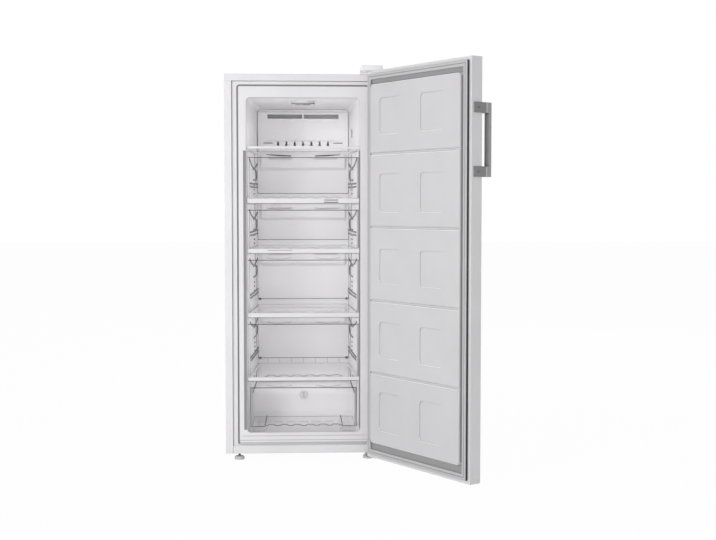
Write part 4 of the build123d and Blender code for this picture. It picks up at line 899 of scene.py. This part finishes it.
def door_liner_beads():
    """Raised edges of the door liner's pads and grooves, darker above as painted shade and lighter below as
    painted highlight; painted shade on the pan's free side and in its hinge-side corners; and a painted highlight
    along the pan's top rim.
    """
    dark, light = [], []
    for top, height in zip(PAD_TOPS, PAD_HEIGHTS):
        for deep in PAD_DEEP_EDGES:
            shaded, bright = pad_edges(deep, top - height, top)
            dark.append(shaded)
            light.append(bright)
    for height in GROOVES:
        dark.append(across(GROOVE_HALF, PAN_FACE, height + GROOVE_RISE))
        light.append(across(GROOVE_HALF, PAN_FACE, height - GROOVE_RISE))
    add_to_door("liner_edges_painted_shade", beads(dark, 0.9 * MM), liner_painted_shade)
    add_to_door("liner_edges_painted_highlight", beads(light, 0.9 * MM), painted_highlight)
    strip = upright(FLANK, FLANK_BOTTOM, FLANK_TOP)
    add_to_door("pan_flank_shade", strip, seal_mid_shade)
    corner_shades = [bar((SHADE_BLOCK_LEFT, SHADE_BLOCK_FRONT, z), (SHADE_BLOCK_RIGHT, SHADE_BLOCK_REAR, z + SHADE_BLOCK_HEIGHT), MM)
             for z in SHADE_BLOCK_BOTTOMS]
    add_to_door("pan_corner_shade", joined(corner_shades), dark_edge_shade)
    rim = across(RIM_HALF, PAN_FACE + 0.3 * MM, RIM_HEIGHT)
    add_to_door("liner_top_highlight", beads([rim], 1.1 * MM), painted_highlight)


BAR_INNER_FACE = -0.384
BRACKET_HEIGHT = 36 * MM
JOINT_FRONT, JOINT_REAR = -0.3728, -0.3712  # between the bar and a bracket
BRACKET_FRONT, BRACKET_REAR = -0.371, -0.316


def handle_details():
    """A darker strip of painted shade on the bar's inner face, painted highlights at the joints of the bar and its
    brackets, and painted shade along the brackets' edges.
    """
    lowest, highest = shut_box("handle_bar")
    bracket_low, bracket_high = shut_box("handle_brackets")
    play = BRACKET_HEIGHT + MM
    grip = bar((lowest.x + 2.0 * MM, BAR_INNER_FACE - 0.5 * MM, lowest.z + play),
               (highest.x - 1.5 * MM, BAR_INNER_FACE + 0.7 * MM, highest.z - play), 0.4 * MM)
    add_to_door("handle_inner_face_shade", grip, dark_edge_shade)
    joints, edges = [], []
    for z0 in (bracket_low.z, bracket_high.z - BRACKET_HEIGHT):
        z1, x = z0 + BRACKET_HEIGHT, bracket_low.x
        joints.append(bar((x - 0.5 * MM, JOINT_FRONT, z0 + 2 * MM),
                          (x + 0.4 * MM, JOINT_REAR, z1 - 2 * MM), 0.3 * MM))
        edge = [(BRACKET_FRONT, z1 - MM), (BRACKET_REAR, z1 - MM), (BRACKET_REAR, z0 + MM)]
        edges.append([(x - 0.1 * MM, y, z) for y, z in edge])
    add_to_door("handle_joint_highlights", joined(joints), painted_highlight)
    add_to_door("handle_bracket_edge_shade", beads(edges, 0.9 * MM), dark_edge_shade)


# ---- feet and back ----
FEET = (("foot_left", -0.25), ("foot_right", 0.25))
FOOT_Y = -0.25
THREAD_BOTTOM, THREAD_LENGTH, THREAD_RINGS = 0.0136, 0.0145, 11
THREAD_ROOT, THREAD_CREST = 4.1 * MM, 4.7 * MM
WIRES = 40
SCREW_X = (-0.283, 0.283)
SCREW_PROFILE = ((3.6 * MM, 0), (3.6 * MM, 0.8 * MM), (2.4 * MM, 1.9 * MM))


def foot_sleeves():
    """Threaded studs between the pads of the front feet and the base."""
    rings = []
    for index in range(THREAD_RINGS):
        height = THREAD_BOTTOM + THREAD_LENGTH * index / (THREAD_RINGS - 1)
        rings.append((THREAD_CREST if index % 2 else THREAD_ROOT, height))
    for body, x in FEET:
        stud = turned(rings, (x, FOOT_Y, 0.0))
        add(body + "_thread", stud, dark_steel, body)


def condenser_wires():
    """Fine upright wires welded across the tube of the rear condenser."""
    lowest, highest = low("condenser"), high("condenser")
    y = highest.y + 0.4 * MM
    wires = []
    for index in range(WIRES):
        x = between(lowest.x + 12 * MM, highest.x - 12 * MM, index / (WIRES - 1))
        wires.append([(x, y, lowest.z + 3 * MM), (x, y, highest.z - 3 * MM)])
    grid = beads(wires, 0.7 * MM)
    add("condenser_wires", grid, looks["black_paint"], "cabinet")


def panel_screws():
    """Rounded screw heads along the edges of the rear panel."""
    lowest, highest = low("rear_panel"), high("rear_panel")
    heights = (lowest.z + 0.02, between(lowest.z, highest.z, 0.36),
               between(lowest.z, highest.z, 0.68), highest.z - 0.02)
    heads = [turned(SCREW_PROFILE, (x, highest.y, z), (0, 1, 0), 18)
             for z in heights for x in SCREW_X]
    add("rear_panel_screws", joined(heads), looks["zinc_steel"], "cabinet")


seam_shade_strip()
sill_lines()
mouth_ribs()
hinge_hood_floor()
wall_guides()
for number, name in enumerate(DRAWERS, 1):
    drawer_edges(name, number)
    drawer_grips(name, number)
trim_edges()
trim_slots()
lamp_details()
cover_seams()
plug_slot()
make_gasket()
gasket_rim_shade()
door_liner_beads()
handle_details()
foot_sleeves()
condenser_wires()
panel_screws()


# ---- floor, light and camera ----
def seen_directly(tree):
    """One for rays from the camera and for those seen in gloss or clear plastic, else zero."""
    path = add_node(tree, "ShaderNodeLightPath")
    first = add_node(tree, "ShaderNodeMath", operation="MAXIMUM")
    second = add_node(tree, "ShaderNodeMath", operation="MAXIMUM")
    tree.links.new(path.outputs["Is Camera Ray"], first.inputs[0])
    tree.links.new(path.outputs["Is Glossy Ray"], first.inputs[1])
    tree.links.new(first.outputs[0], second.inputs[0])
    tree.links.new(path.outputs["Is Transmission Ray"], second.inputs[1])
    return second.outputs[0]


def make_floor():
    """White paper under the object: white to the eye but for the object's faint shadow."""
    data = bpy.data.meshes.new("floor")
    signs = ((-1, -1), (1, -1), (1, 1), (-1, 1))
    corners = [(x * FLOOR_REACH, y * FLOOR_REACH, 0) for x, y in signs]
    data.from_pydata(corners, [], [(0, 1, 2, 3)])
    floor = bpy.data.objects.new("floor", data)
    bpy.context.collection.objects.link(floor)
    shade = Shade("floor_paper")
    shade.drive(shade.ramp(shade.noise(0.7), grey(0.89, 0.0), grey(0.9, 0.0)), "Base Color")
    shade.set(Roughness=0.9)
    glow = shade.node("ShaderNodeEmission", Color=PLAIN_WHITE, Strength=1.0)
    mix = shade.node("ShaderNodeMixShader")
    share = shade.node("ShaderNodeMath", operation="MULTIPLY")
    share.inputs[1].default_value = 0.97
    shade.link(seen_directly(shade.tree), share.inputs[0])
    shade.link(share.outputs[0], mix.inputs["Fac"])
    shade.link(shade.shader.outputs[0], mix.inputs[1])
    shade.link(glow.outputs[0], mix.inputs[2])
    shade.link(mix.outputs[0], shade.output.inputs["Surface"])
    data.materials.append(shade.material)


def make_world():
    """Even room light, and a white background behind it."""
    world = bpy.data.worlds.new("studio")
    world.use_nodes = True
    tree = world.node_tree
    tree.nodes.clear()
    light = add_node(tree, "ShaderNodeBackground", Color=(*LAMP_WHITE, 1), Strength=AMBIENT)
    white = add_node(tree, "ShaderNodeBackground", Color=PLAIN_WHITE, Strength=1.0)
    mix = add_node(tree, "ShaderNodeMixShader")
    output = add_node(tree, "ShaderNodeOutputWorld")
    tree.links.new(seen_directly(tree), mix.inputs["Fac"])
    tree.links.new(light.outputs[0], mix.inputs[1])
    tree.links.new(white.outputs[0], mix.inputs[2])
    tree.links.new(mix.outputs[0], output.inputs["Surface"])
    bpy.context.scene.world = world


def make_lamp(name, place, target, size, power):
    data = bpy.data.lights.new(name, "AREA")
    data.shape = "RECTANGLE"
    data.size, data.size_y = size
    data.energy = power
    data.color = LAMP_WHITE
    lamp = bpy.data.objects.new(name, data)
    bpy.context.collection.objects.link(lamp)
    lamp.location = place
    lamp.rotation_euler = (Vector(target) - Vector(place)).to_track_quat("-Z", "Y").to_euler()
    return lamp


def light_cavity():
    """The room's light that reaches into the cavity: through the mouth and below each shelf."""
    soft = [make_lamp(*lamp) for lamp in CAVITY_LAMPS]
    for number, drawer in enumerate(DRAWERS, 1):
        last = drawer == DRAWERS[-1]
        depth = 0.03 if last else -0.09
        size = (0.36, 0.16 if last else 0.32)
        power = SHELF_POWER * (LAST_SHELF_SHARE if last else 1)
        under = low("shelf_glass_" + str(number)).z - 4 * MM
        name = "shelf_light_" + str(number)
        soft.append(make_lamp(name, (0, depth, under), (0, depth, 0), size, power))
    for lamp in soft:
        lamp.visible_camera = lamp.visible_glossy = lamp.visible_transmission = False


def make_camera():
    data = bpy.data.cameras.new("camera")
    data.sensor_fit = "HORIZONTAL"
    data.sensor_width = CAMERA_SENSOR
    data.lens = CAMERA_LENS
    data.clip_end = CAMERA_REACH
    camera = bpy.data.objects.new("camera", data)
    bpy.context.collection.objects.link(camera)
    camera.location = CAMERA_PLACE
    camera.rotation_euler = (math.radians(90 - CAMERA_PITCH), 0, math.radians(-CAMERA_YAW))
    bpy.context.scene.camera = camera


make_floor()
make_world()
for name, place, target, power in ROOM_LAMPS:
    make_lamp(name, place, target, ROOM_LAMP_SIZE, power)
light_cavity()
bpy.context.scene.cycles.transparent_max_bounces = CLEAR_WALLS
make_camera()
bpy.context.scene.view_settings.view_transform = "Standard"
